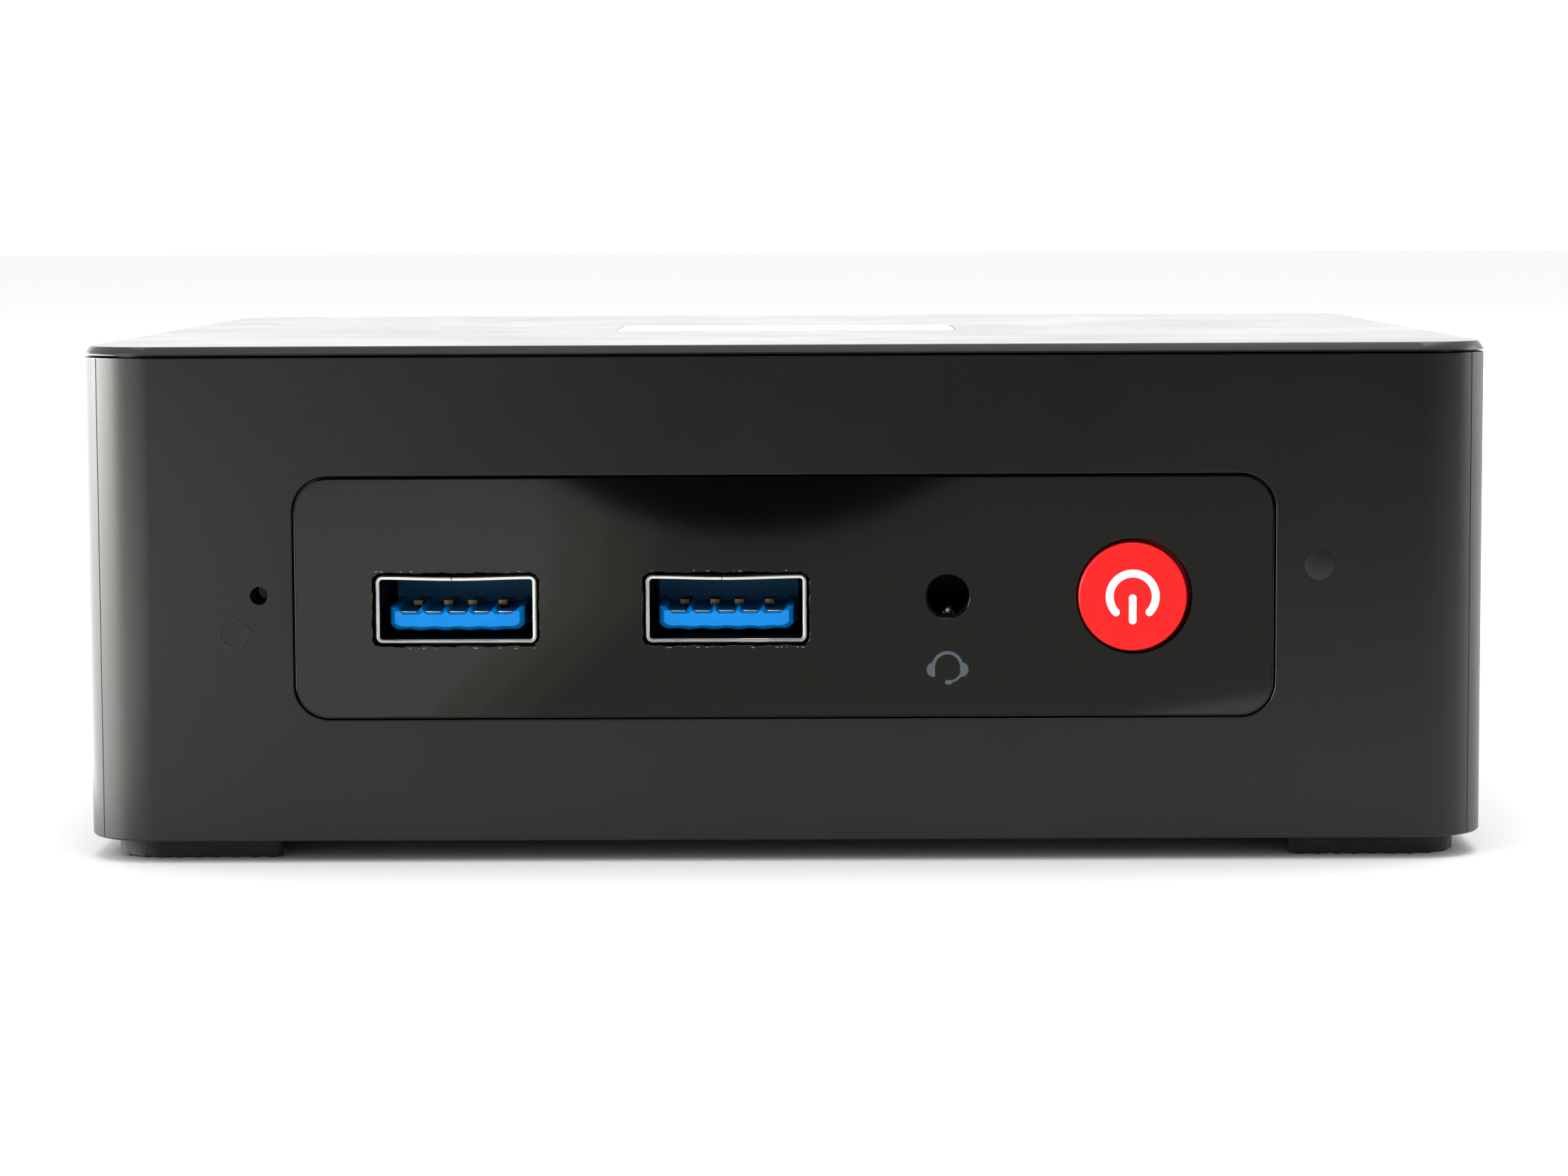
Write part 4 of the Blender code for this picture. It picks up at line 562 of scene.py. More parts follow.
def circuit_board():
    """Solder-masked glass epoxy: copper tracks show through as paler lines on a square grid.

    Two sets of narrow bands cross, each broken up by patches, and the tracks stand a little proud.
    """
    tree, shader = plain("solder_masked_board", IOR=1.55, Coat_Weight=0.3, Coat_Roughness=0.12, Roughness=0.4)
    place = add(tree, "TexCoord").outputs["Object"]
    patch = add(tree, "TexNoise", {"Vector": place, "Scale": per(6.0), "Detail": 1.0}).outputs["Fac"]
    lines = []
    for direction, test in (("X", "GREATER_THAN"), ("Y", "LESS_THAN")):
        bands = add(tree, "TexWave", {"Vector": place, "Scale": per(1.2) / 20, "Distortion": 0.0},
                    bands_direction=direction).outputs["Fac"]
        narrow = add(tree, "Math", {0: bands, 1: 0.72}, operation="GREATER_THAN").outputs[0]
        side = add(tree, "Math", {0: patch, 1: 0.5}, operation=test).outputs[0]
        lines.append(add(tree, "Math", {0: narrow, 1: side}, operation="MULTIPLY").outputs[0])
    tracks = add(tree, "Math", {0: lines[0], 1: lines[1]}, operation="MAXIMUM").outputs[0]
    tone = add(tree, "Mix", {0: tracks, 6: linear("#0f3d2a"), 7: linear("#1d5a3e")}, data_type="RGBA").outputs[2]
    bump = add(tree, "Bump", {"Height": tracks, "Strength": 1.0, "Distance": 0.03 * MM})
    tree.links.new(tone, shader.inputs["Base Color"])
    tree.links.new(bump.outputs[0], shader.inputs["Normal"])


# ---------------------------------------------------------------- shapes that are used more than once


def sleeve_levels(depth, metal):
    """Levels of a folded wall: round lip, outside, far end, and back along the inside."""
    return [*arc((LIP, 0.0), (0.0, LIP), 1, 4), (0.0, depth), (metal, depth), (metal, LIP), (metal - LIP, 0.0)]


def usb_sleeve(at, size, metal, bow):
    """Folded metal sleeve: a looped wall with a soft lip, whose upper side, with the seam, bows inwards.

    The upper side's v drops by bow * cos^2(pi u / width) near the mouth, fading with depth.
    """
    width, depth, height = size
    outer = [*arc((LIP, 0.0), (0.0, LIP), 1, 4), (0.0, depth)]
    inner = [(metal, depth), (metal, LIP), *arc((metal, LIP), (metal - LIP, 0.0), 1, 4)[1:]]
    stack = rings(refined(rounded(width, height, 0.55, 8), 0.4), [*outer, *inner])
    u, v, w = np.moveaxis(stack, -1, 0)
    on_side = np.clip((v - height / 4) / (height / 8), 0, 1)
    v -= bow * np.cos(np.pi * np.clip(u / width, -0.5, 0.5)) ** 2 * np.exp(-w / 6.0) * on_side
    return skin(facing(stack, at), loop=True)


def paint_shade_inside(made, at, way, size, metal):
    """Paints shade inside a sleeve with the dark tin finish: the faces deeper than 0.35 mm whose middle
    lies within the outline less half the metal."""
    mesh = made.data
    middles = np.empty(3 * len(mesh.polygons))
    mesh.polygons.foreach_get("center", middles)
    x, y, z = (middles.reshape(-1, 3) / MM - np.asarray(at, float)).T
    inside = (way * y > 0.35) & (np.abs(x) < size[0] / 2 - metal / 2) & (np.abs(z) < size[2] / 2 - metal / 2)
    # Painted shade: the deep inside faces get the dark tin finish.
    mesh.materials.append(FINISHES["tin_painted_shade"])
    mesh.polygons.foreach_set("material_index", inside.astype(np.int32))


def usb_carrier(at, way, peaks, half=5.5, low=-1.82, high=-0.34, depth=11.4):
    """Contact carrier: its section is carried inwards from the front.

    The upper edge is high + 0.42 * max(0, 1 - |u - peak| / 0.32) at each separator, with a lug at
    each end, and the lower edge rises as (u / half)^14 at its ends and ripples by 0.05 mm. The
    front ring is drawn in towards the middle, which makes the sloping rim.
    """
    u = np.linspace(-half, half, 241)
    ridge = np.max(np.maximum(0, 1 - np.abs(u[:, None] - peaks) / 0.32), axis=1)
    lug = np.clip((np.abs(u) - half + 0.75) / 0.3, 0, 1)
    top = high + 0.42 * np.maximum(ridge, lug)
    bottom = low + 0.5 * np.abs(u / half) ** 14 + 0.05 * np.cos(2 * np.pi * u / 2.0)
    across, up = np.concatenate([u, u[::-1]]), np.concatenate([bottom, top[::-1]])
    centre = (low + high) / 2
    levels = [(0.925, 0.66, 0.0), (0.93, 0.68, 0.04), (0.99, 0.94, 0.42), (1.0, 1.0, 0.6), (1.0, 1.0, depth)]
    wide, tall, where = (np.array(levels)[:, k, None] for k in (0, 1, 2))
    rise = centre + (up - centre) * tall + 0.08 * (1 - tall) / 0.34
    return skin(facing(np.stack([across * wide, rise, np.broadcast_to(where, rise.shape)], axis=-1), at, way))


def usb_port(name, at, way, width, height, sockets, node, recess=1.0):
    """One port: carrier with its back wall, five front contacts and four sprung contacts."""
    peaks = (np.arange(sockets.peaks) - (sockets.peaks - 1) / 2) * 2.0
    carrier = usb_carrier((at[0], at[1] + way * recess, at[2]), way, peaks)
    piece(f"{name}_carrier", [carrier], "blue_nylon", nodes=[node], sharp=25)
    back = refined(rounded(width - 1.24, height - 1.24, 0.3, 4), 0.5)
    # The back wall takes the darker blue: painted shade deep in the socket.
    piece(f"{name}_back", [form(back, [(0.1, 11.0), (0.0, 11.1), (0.0, 13.4)], at, way)], "blue_nylon_painted_shade")
    strips = row_of_blocks((-4.0, -2.0, 0.0, 2.0, 4.0), -0.3, 1.55, (1.25, 0.09, 0.5), at, way)
    piece(f"{name}_contacts", [strips], "nickel_plated_steel", bevel=0.02)
    places = (-3.5, -1.0, 1.0, 3.5)
    springs = [row_of_blocks(places, 0.16, 5.2, (0.75, 0.44, 1.6), at, way, -0.2),
               row_of_blocks(places, -0.04, 8.4, (0.75, 0.16, 5.2), at, way)]
    piece(f"{name}_springs", springs, "bare_bronze", bevel=0.03)


def screw(node):
    """Pan-head screw, head down: radius against height turned about its axis, and a cross in the head.

    The head's rim is a quarter ellipse, and the shaft's radius ripples with the thread's pitch.
    """
    low, high = box_of(node)
    radius, centre, reach = (high[0] - low[0]) / 2, (low + high) / 2, high[2] - low[2]
    head, shaft, pitch, corners = 0.9, 1.2, 0.8, 40
    lengths = np.linspace(head + 0.3, reach - 0.6, 60)
    thread = np.stack([shaft - 0.14 * (0.5 - 0.5 * np.cos(2 * np.pi * lengths / pitch)), lengths], axis=1)
    rim = [(radius - 0.35 + 0.35 * np.sin(t), 0.4 - 0.4 * np.cos(t)) for t in np.linspace(0, np.pi / 2, 6)]
    neck = [(radius, head - 0.1), (radius - 0.1, head), (shaft, head)]
    profile = np.array([(0.02, 0.0), *rim, *neck, *thread, (0.5, reach)])
    angle = np.arange(corners) * 2 * np.pi / corners
    x, y = centre[0] + profile[:, :1] * np.cos(angle), centre[1] + profile[:, :1] * np.sin(angle)
    z = np.broadcast_to(low[2] + profile[:, 1:], x.shape)
    made = solid(f"{node}_visible", [skin(np.stack([x, y, z], axis=-1))])
    for turn in (0.0, np.pi / 2):
        spun = rectangle(2.5, 0.44) @ np.array([(np.cos(turn), np.sin(turn)), (-np.sin(turn), np.cos(turn))])
        levels = [(-0.05, low[2] - 0.3), (0.0, low[2]), (0.12, low[2] + 0.65)]
        cut(made, [skin(rings(filleted(spun + centre[:2], 0.0, 1), levels))])
    finished(made, "zinc_plated_screw", nodes=[node], bevel=0.03)


def hdmi_outline(width, height, centre=(0.0, 0.0)):
    """Rectangle whose lower corners are cut off."""
    x, y, c = width / 2, height / 2, 1.6
    corners = np.array([(-x + c, -y), (x - c, -y), (x, -y + c), (x, y), (-x, y), (-x, -y + c)])
    return filleted(corners + np.array(centre), 0.4, 5)


# ---------------------------------------------------------------- operators


class Maker:
    """What every operator here shares."""

    bl_options = {"REGISTER", "UNDO"}


class MINIPC_OT_stage(Maker, bpy.types.Operator):
    """Floor, soft light, surroundings and camera"""

    bl_idname = "minipc.stage"
    bl_label = "Stage"

    def execute(self, context):
        studio = context.scene.mini_pc_studio
        surface("floor_paper", (studio.floor, "#f1f1f0"), 120.0, (0.7, 0.8), 1.5, 0.01, Specular_IOR_Level=0.1)
        self.sheet("floor", self.level(plan((-4000, -4000), (4000, 6000)), 0.0), "floor_paper")

        world = bpy.data.worlds.new("studio")
        context.scene.world = world
        world.use_nodes = True
        world.node_tree.nodes["Background"].inputs["Color"].default_value = (1, 1, 1, 1)
        world.node_tree.nodes["Background"].inputs["Strength"].default_value = studio.world
        context.scene.view_settings.view_transform = "Standard"

        aim = Vector((0, 0, 0.02))
        for name, power, size, place in (("key", studio.key, 0.5, (-0.75, -0.55, 0.75)),
                                         ("top", studio.top, 0.9, (0.1, 0.15, 1.1))):
            light = bpy.data.lights.new(name, "AREA")
            light.shape, light.energy, light.size, light.size_y = "RECTANGLE", power, size, size
            lamp = bpy.data.objects.new(name, light)
            lamp.location = place
            lamp.rotation_euler = (aim - Vector(place)).to_track_quat("-Z", "Y").to_euler()
            context.scene.collection.objects.link(lamp)

        self.cards(studio)
        self.camera(context, studio)
        return {"FINISHED"}

    def sheet(self, name, corners, finish):
        """A flat sheet that belongs to the stage."""
        made = solid(name, [(corners, [list(range(len(corners)))])])
        made.data.materials.append(FINISHES[finish])
        return made

    def level(self, outline, height):
        """Corners of a level sheet."""
        return np.column_stack([outline, np.full(len(outline), height)])

    def upright(self, start, end, low, high):
        """Corners of an upright sheet over a line on the floor."""
        return np.array([(*start, low), (*end, low), (*end, high), (*start, high)], float)

    def cards(self, studio):
        """Cards that only reflections see: bright ones at the left and behind, dark ones in front."""
        surface("black_velvet", ("#050505", "#070707"), 5.0, (0.9, 1.0), 0.5, 0.05, Specular_IOR_Level=0.0)
        # Grey sheets on the floor in front, which only reflections see, make the floor in front look darker in the
        # panel, and they grow paler in two steps towards their left edge.
        for name, tones in (("grey_floor_sheet", ("#a9a9a4", "#a0a09b")), ("paler_floor_sheet", ("#bfbfba", "#b9b9b4")),
                            ("palest_floor_sheet", ("#d9d9d4", "#d3d3ce"))):
            surface(name, tones, 60.0, (0.9, 1.0), 0.5, 0.05, Specular_IOR_Level=0.0)
        for name in ("side_card", "side_card_rear", "side_floor", "back_card", "right_card"):
            plain(f"{name}_glow", Base_Color=(0, 0, 0, 1), Specular_IOR_Level=0.0, Emission_Color=(1, 1, 1, 1),
                  Emission_Strength=getattr(studio, name))
        left = np.array([(-60, -1500), (-23, -396), (-20.5, -269), (-25, -195), (-28, -140)], float)
        right = np.array([(32, -140), (56, -168), (100, -205), (300, -330), (900, -600), (900, -1500)], float)
        spread = np.array([(-44, 0), (-8, 0), (-6.5, 0), (-5.8, 0), (-5, 0)], float)
        level, upright = self.level, self.upright
        glowing = [(-895, -430), (-112, -430), (-75, -60), (-75, 900), (-895, 900)]
        for name, corners, finish in (
            ("lens_card", level(circle(118.0, (-7.0, 60.0), 96)[0], -383.0)[:, [0, 2, 1]], "black_velvet"),
            ("front_card", upright((-205, -560), (1000, -560), 2, 620), "black_velvet"),
            ("front_side_card", upright((1000, -560), (1000, -62), 2, 620), "black_velvet"),
            ("floor_card", level(np.vstack([left[4:], right, left[:4]]), 0.5), "grey_floor_sheet"),
            ("floor_card_edge", level(np.vstack([left, (left + spread)[::-1]]), 0.5), "paler_floor_sheet"),
            ("floor_card_fringe", level(np.vstack([left + spread, (left + 2 * spread)[::-1]]), 0.5), "palest_floor_sheet"),
            ("side_card", upright((-900, -440), (-900, 450), 5, 420), "side_card_glow"),
            ("side_card_rear", upright((-900, 451), (-900, 1400), 5, 420), "side_card_rear_glow"),
            ("side_floor_card", level(glowing, 1.0), "side_floor_glow"),
            ("right_card", upright((1000, -60), (1000, 900), 5, 700), "right_card_glow"),
            ("back_card", upright((-1200, 1600), (600, 1600), 5, 900), "back_card_glow"),
        ):
            made = self.sheet(name, corners, finish)
            made.visible_camera = made.visible_shadow = made.visible_diffuse = False

    def camera(self, context, studio):
        """Camera from its yaw, tilt and roll: back = -forward, and right and up turned by the roll."""
        yaw, tilt, roll = np.radians([0.382, 5.163, -0.25])
        forward = np.array([-np.sin(yaw) * np.cos(tilt), np.cos(yaw) * np.cos(tilt), -np.sin(tilt)])
        right = np.array([np.cos(yaw), np.sin(yaw), 0.0])
        up = np.cross(right, forward)
        turned = np.eye(4)
        turned[:3, 0] = right * np.cos(roll) + up * np.sin(roll)
        turned[:3, 1] = up * np.cos(roll) - right * np.sin(roll)
        turned[:3, 2] = -forward
        turned[:3, 3] = np.array([2.22, -381.5, 52.31]) * MM
        data = bpy.data.cameras.new("camera")
        data.lens, data.sensor_width, data.sensor_fit = studio.lens, 36.0, "HORIZONTAL"
        data.clip_start, data.clip_end = 0.01, 50.0
        camera = bpy.data.objects.new("camera", data)
        camera.matrix_world = Matrix(turned.tolist())
        context.scene.collection.objects.link(camera)
        context.scene.camera = camera


class MINIPC_OT_finishes(Maker, bpy.types.Operator):
    """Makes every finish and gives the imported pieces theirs"""

    bl_idname = "minipc.finishes"
    bl_label = "Finishes"

    def execute(self, context):
        scene = context.scene
        make_finishes(scene.mini_pc_case, scene.mini_pc_front, scene.mini_pc_sockets)
        for name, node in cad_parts.items():
            for place in node.material_slots:
                slot = place.material.name.split(".")[0]
                place.material = FINISHES["moulded_epoxy" if name == "processor" else SLOTS[slot][0]]
        return {"FINISHED"}


class MINIPC_OT_shell(Maker, bpy.types.Operator):
    """Moulded shell: four walls with the pocket, the front openings and the rear cutouts"""

    bl_idname = "minipc.shell"
    bl_label = "Shell"

    def execute(self, context):
        case, front = context.scene.mini_pc_case, context.scene.mini_pc_front
        low, high = box_of("main_shell")
        radius, side, thick = case.corner_radius / MM, case.side_wall / MM, case.front_wall / MM
        edge, mouth = case.edge_round / MM, front.mouth_round / MM
        outer = filleted(plan(low, high), radius, 24)
        inner = filleted(plan(low[:2] + (side, thick), high[:2] - side), radius - side, 24)
        bottom, top = low[2], box_of("top_cover")[1][2] - (case.lid_edge + case.seam) / MM
        lower_edge = arc((edge, bottom), (0.0, bottom + edge), 1, 5)
        stack = np.concatenate([
            rings(outer, [*lower_edge, (0.0, top - 0.12), (0.035, top - 0.035), (0.12, top)]),
            rings(inner, [(0.0, top), (0.0, bottom)]),
        ])
        shell = solid("case_shell", [skin(stack, loop=True)])
        cut(shell, self.front_openings(low[1], front, mouth))
        cut(shell, self.rear_openings(high[1], mouth))
        cut(shell, self.parting_lines(low, high, radius, case.parting_line / MM))
        finished(shell, "textured_abs", nodes=["main_shell"], sharp=28)
        self.reset_sign(low[1])
        return {"FINISHED"}

    def front_openings(self, face, front, mouth):
        """Pocket for the panel, and the openings in its floor and beside it."""
        groove, behind = front.groove / MM, face + BEHIND_PANEL
        at, size = mouth_of("front_panel")
        pocket = rounded(*(size + 2 * groove)[[0, 2]], front.panel_radius / MM + groove, 16, at[[0, 2]])
        yield hole(pocket, face, mouth, 1.5)
        for side in SIDES:
            at, size = mouth_of(f"front_usb_shell_{side}")
            yield hole(rounded(*(size + 0.6)[[0, 2]], 0.8, 6, at[[0, 2]]), behind, 0.0, 4.0)
        button, pin, led = (middle(node) for node in ("power_button", "reset_switch_plunger", "led_light_pipe"))
        jack = (middle("audio_jack")[0], box_of("led_light_pipe")[0][2] - 1.2)
        yield hole(circle(5.8, jack), behind, 0.0, 4.0)
        yield hole(circle(BUTTON_HOLE, (button[0] + front.button_shift / MM, button[2]), 64), behind, 0.0, 4.0)
        yield hole(circle(1.45, pin[[0, 2]], 32), face, 0.06, 4.0)
        yield hole(circle(2.5, led[[0, 2]], 40), face, 0.0, 4.0)

    def rear_openings(self, face, mouth):
        """Cutouts round the rear sockets, the lock slot and the row of exhaust slots."""
        for node in ("dc_jack", "hdmi_shell_left", "hdmi_shell_right", "ethernet_jack", "rear_usb_shell"):
            at, size = mouth_of(node, -1)
            width, height, centre = size[0] + 0.5, size[2] + 0.5, (-at[0], at[2])
            cornered = node.startswith("hdmi")
            shape = hdmi_outline(width, height, centre) if cornered else rounded(width, height, 0.5, 5, centre)
            yield hole(shape, face, mouth, 3.0, -1)
        yield hole(rounded(7.0, 3.0, 0.6, 5, (44.0, 32.4)), face, mouth, 3.0, -1)
        yield merged([hole(rounded(2.0, 8.95, 0.98, 6, (x, 32.475)), face, mouth, 3.0, -1)
                      for x in (np.arange(16) - 7.5) * 3.6])

    def parting_lines(self, low, high, radius, depth, x=56.0):
        """Fine upright grooves at +-x on the four corners, where the mould's slides meet: a small
        diamond with one point turned outwards, carried up the whole height."""
        for sx in (-1, 1):
            for sy, y_mid in ((-1, low[1] + radius), (1, high[1] - radius)):
                across = x - (high[0] - radius)
                along = math.sqrt(radius**2 - across**2)
                lean = math.atan2(sy * along, sx * across)
                turn = np.array([(math.cos(lean), math.sin(lean)), (-math.sin(lean), math.cos(lean))])
                diamond = np.array([(1, 0), (0, 1), (-1, 0), (0, -1)]) * depth
                outline = filleted(diamond @ turn + (sx * x, y_mid + sy * along), 0.0, 1)
                yield skin(rings(outline, [(0.0, low[2] - 1), (0.0, high[2] + 1)]))

    def reset_sign(self, face):
        """Plain round arrow moulded under the reset hole, standing 0.06 mm proud."""
        at = (middle("reset_switch_plunger")[0] - 2.2, face + 0.001, 18.9)
        ring = skin(facing(stroke(bend(1.15, 70, 360), 0.16, 0.06), at))
        head = filleted([(0.62, -0.05), (1.68, -0.05), (1.15, 0.72)], 0.04, 3)
        arrow = form(head, [(0.0, 0.0), (0.0, -0.07)], at)
        piece("reset_sign", [ring, arrow], "gloss_abs", slot="case_plastic")


class MINIPC_OT_lid(Maker, bpy.types.Operator):
    """Top cover with its rounded edge and its lip, and the plain plate let into it"""

    bl_idname = "minipc.lid"
    bl_label = "Top cover"

    def execute(self, context):
        case = context.scene.mini_pc_case
        low, high = box_of("top_cover")
        radius, play = case.corner_radius / MM, 0.3
        side, thick = case.side_wall / MM + play, case.front_wall / MM + play
        top, under, lip, edge = high[2], high[2] - case.lid_edge / MM, low[2], case.lid_round / MM
        outer = filleted(plan(low, high), radius, 24)
        inside = filleted(plan(low[:2] + (side, thick), high[:2] - side), radius - side, 24)
        stack = np.concatenate([
            rings(outer, [(edge + 0.6, top), (edge + 0.06, top), (edge + 0.01, top - 0.012),
                          (edge - 0.04, top - 0.045), (0.06, top - 0.55), (0.02, top - 0.61), (0.0, top - 0.66),
                          (0.0, under + 0.05), (0.05, under)]),
            rings(inside, [(0.0, under), (0.0, lip + 0.15), (0.15, lip), (1.05, lip), (1.2, lip + 0.15), (1.2, under)]),
        ])
        lid = solid("case_lid", [skin(stack)])
        plate_low, plate_high = box_of("top_badge")
        size, centre = (plate_high - plate_low)[:2], ((plate_low + plate_high) / 2)[:2]
        floor, gap, corner = plate_low[2], case.plate_gap / MM, 2.0
        recess = rounded(*(size + 2 * gap), corner + gap, 12, centre)
        cut(lid, [skin(rings(recess, [(0.0, floor), (0.0, top - 0.06), (-0.06, top), (-0.06, top + 1)]))])
        finished(lid, "satin_abs_top", nodes=["top_cover"], sharp=28)
        plate = rings(rounded(*size, corner, 12, centre), [(0.0, floor), *arc((0.0, top - 0.08), (0.08, top), 1, 4)])
        piece("top_plate", [skin(plate)], "gloss_plate", nodes=["top_badge"])
        return {"FINISHED"}


class MINIPC_OT_front_panel(Maker, bpy.types.Operator):
    """Glossy front panel with its openings and the printed headset sign"""

    bl_idname = "minipc.front_panel"
    bl_label = "Front panel"

    def execute(self, context):
        front, gap = context.scene.mini_pc_front, context.scene.mini_pc_sockets.gap / MM
        at, size = mouth_of("front_panel")
        face, soft = at[1], front.mouth_round / MM
        outline = rounded(size[0], size[2], front.panel_radius / MM, 16, at[[0, 2]])
        levels = [*arc((soft, 0.0), (0.0, soft), 1, 4), (0.0, 1.2)]
        panel = solid("glossy_panel", [form(outline, levels, (0, face, 0))])
        openings, flakes, draw = [], [], np.random.default_rng(7)
        for side in SIDES:
            place, sleeve = mouth_of(f"front_usb_shell_{side}")
            shape = refined(rounded(*(sleeve + 2 * gap)[[0, 2]], 0.72, 8, place[[0, 2]]), 0.25)
            openings.append(hole(self.ragged(shape), face, 0.04, 2.0))
            flakes += self.burrs((place[0], face, place[2]), sleeve[[0, 2]], gap, draw)
        button = middle("power_button")
        openings.append(hole(circle(3.62, (JACK_X, at[2]), 64), face, 0.03, 2.0))
        centre = (button[0] + front.button_shift / MM, button[2])
        openings.append(hole(circle(BUTTON_HOLE, centre, 96), face, 0.05, 2.0))
        cut(panel, openings)
        finished(panel, "gloss_abs", nodes=["front_panel"], sharp=28)
        piece("opening_burrs", flakes, "scraped_abs")
        self.headset_sign(face, front.print_height / MM)
        return {"FINISHED"}

    def burrs(self, at, size, gap, draw, count=7):
        """Pale flakes of scraped plastic along the upper and lower edge of a punched opening: small
        blocks of three sizes at random places, just outside the edge."""
        flakes = []
        for flake in ((0.26, 0.05, 0.02), (0.12, 0.07, 0.03), (0.07, 0.05, 0.025)):
            u = draw.uniform(-size[0] / 2, size[0] / 2, count)
            v = draw.choice([-1, -1, 1], count) * (size[1] / 2 + gap + 0.1 + draw.uniform(0, 0.05, count))
            flakes.append(row_of_blocks(u, v, 0.0, flake, at, 1))
        return flakes

    def ragged(self, outline):
        """Outline of a punched opening whose edge wanders by up to 0.08 mm: a sum of three sines
        of the arc length."""
        points, normals = outline
        along = np.arange(len(points)) * 0.25
        wander = 0.03 * np.sin(along * 1.7) + 0.03 * np.sin(along * 4.3 + 1.0) + 0.02 * np.sin(along * 9.1 + 2.0)
        return points + normals * wander[:, None], normals

    def headset_sign(self, face, thick):
        """Headband, two cushions and a microphone arm, as printed strokes."""
        at = (JACK_X, face + 0.002, 15.85)
        band = stroke(bend(1.14, -4, 184, (0.0, 0.12)), 0.135, thick)
        arm = stroke(bend(1.22, -12, -84, (0.02, 0.08)), 0.1, thick * 0.8)
        mouthpiece = stroke([(-0.22, -1.15), (0.08, -1.16), (0.38, -1.15)], 0.18, thick * 1.2)
        t = np.linspace(-np.pi / 2, np.pi / 2, 25)
        cushion = np.stack([1.02 + 0.68 * np.cos(t) ** 0.8, -0.12 + 0.60 * np.sin(t), np.zeros(25)], axis=1)
        pads = [np.stack([cushion, cushion - (0, 0, 1.5 * thick)]) * (sign, 1, 1) for sign in (-1, 1)]
        piece("headset_sign", [skin(facing(part, at)) for part in (band, arm, mouthpiece, *pads)], "grey_ink")


class MINIPC_OT_front_sockets(Maker, bpy.types.Operator):
    """Two blue sockets and the audio jack in the front"""

    bl_idname = "minipc.front_sockets"
    bl_label = "Front sockets"

    def execute(self, context):
        sockets = context.scene.mini_pc_sockets
        metal, bow = sockets.metal / MM, sockets.bow / MM
        for side in SIDES:
            at, size = mouth_of(f"front_usb_shell_{side}")
            sleeve = solid(f"usb_sleeve_{side}", [usb_sleeve(at, size, metal, bow)])
            seam = filleted(rectangle(0.07, 1.2, (-0.35, size[2] / 2 - 0.2)), 0.0, 1)
            cut(sleeve, [form(seam, [(0.0, -0.5), (0.0, 6.0)], at)])
            finished(sleeve, "nickel_plated_steel", nodes=[f"front_usb_shell_{side}"])
            # Painted shade on the deep inside of the sleeve.
            paint_shade_inside(sleeve, at, 1, size, metal)
            usb_port(f"usb_{side}", at, 1, size[0], size[2], sockets, f"front_usb_tongue_{side}")
        self.audio_jack()
        return {"FINISHED"}

    def audio_jack(self):
        """Black body with a round nose and a bore; a sprung contact shows low in the bore.

        The circles' points start beside the body's first point, so that faces don't twist.
        """
        low, high = box_of("audio_jack")
        at, depth = (JACK_X, low[1], 21.7), high[1] - low[1]
        body = rounded(6.6, 5.4, 0.4, 12)
        count = len(body[0])
        nose, bore = circle(5.2, steps=count), circle(3.4, (0.1, 0.0), count)
        first = body[0][0] / np.linalg.norm(body[0][0])
        start = np.argmin(np.linalg.norm(nose[1] - first, axis=1))
        nose, bore = ([np.roll(part, -start, axis=0) for part in ring] for ring in (nose, bore))
        stack = np.concatenate([
            rings(bore, [(1.68, 11.0), (0.0, 11.0), (0.0, 0.12), (-0.1, 0.0)]),
            rings(nose, [(0.1, 0.0), (0.0, 0.1), (0.0, 1.9)]),
            rings(body, [(0.0, 1.9), (0.0, depth - 0.2), (0.2, depth)]),
        ])
        piece("jack_body", [skin(facing(stack, at))], "black_nylon", nodes=["audio_jack"])
        t = np.radians(np.linspace(-108, -72, 17))
        edge = lambda r: np.stack([0.1 + r * np.cos(t), r * np.sin(t)], axis=1)
        section = np.concatenate([edge(1.64), edge(1.46)[::-1]])
        stack = np.stack([np.column_stack([section * (1, tall), np.full(len(section), where)])
                          for tall, where in ((1.0, 0.5), (0.95, 1.6), (0.9, 6.0))])
        piece("jack_contact", [skin(facing(stack, at))], "nickel_plated_steel", bevel=0.03)
        levels = [(0.36, 0.3), (0.24, 0.31), (0.1, 0.4), (0.0, 0.62), (0.0, 2.0)]
        dome = form(circle(0.8, (0.12, -1.36), 24), levels, at)
        piece("jack_contact_dome", [dome], "nickel_plated_steel", sharp=60)


class MINIPC_OT_power_button(Maker, bpy.types.Operator):
    """Round red button with its flange and stem, and the sign printed on it"""

    bl_idname = "minipc.power_button"
    bl_label = "Power button"

    def execute(self, context):
        at, thick = mouth_of("power_button")[0], context.scene.mini_pc_front.print_height / MM
        radius, flange, stem = 4.4, 5.4, 1.5
        levels = [(4.38, 0.0), (0.22, 0.0), *arc((0.22, 0.0), (0.0, 0.2), 0, 4)[1:], (0.0, 3.9),
                  (radius - flange, 3.9), (radius - flange, 4.9), (radius - stem, 4.9), (radius - stem, 6.0)]
        cap = form(circle(2 * radius, steps=96), levels, at + (0.0, 0.02, -0.03))
        piece("button_cap", [cap], "red_abs", body="power_button", nodes=["power_button"], sharp=20)
        ring = stroke(bend(1.87, -53, 233, steps=96), 0.32, thick)
        bar = stroke([(0.0, 0.17), (0.0, -1.0), (0.0, -2.27)], 0.31, thick)
        sign = [skin(facing(part, at + (0.0, 0.021, 0.0))) for part in (ring, bar)]
        piece("button_sign", sign, "white_ink", body="power_button")
        return {"FINISHED"}


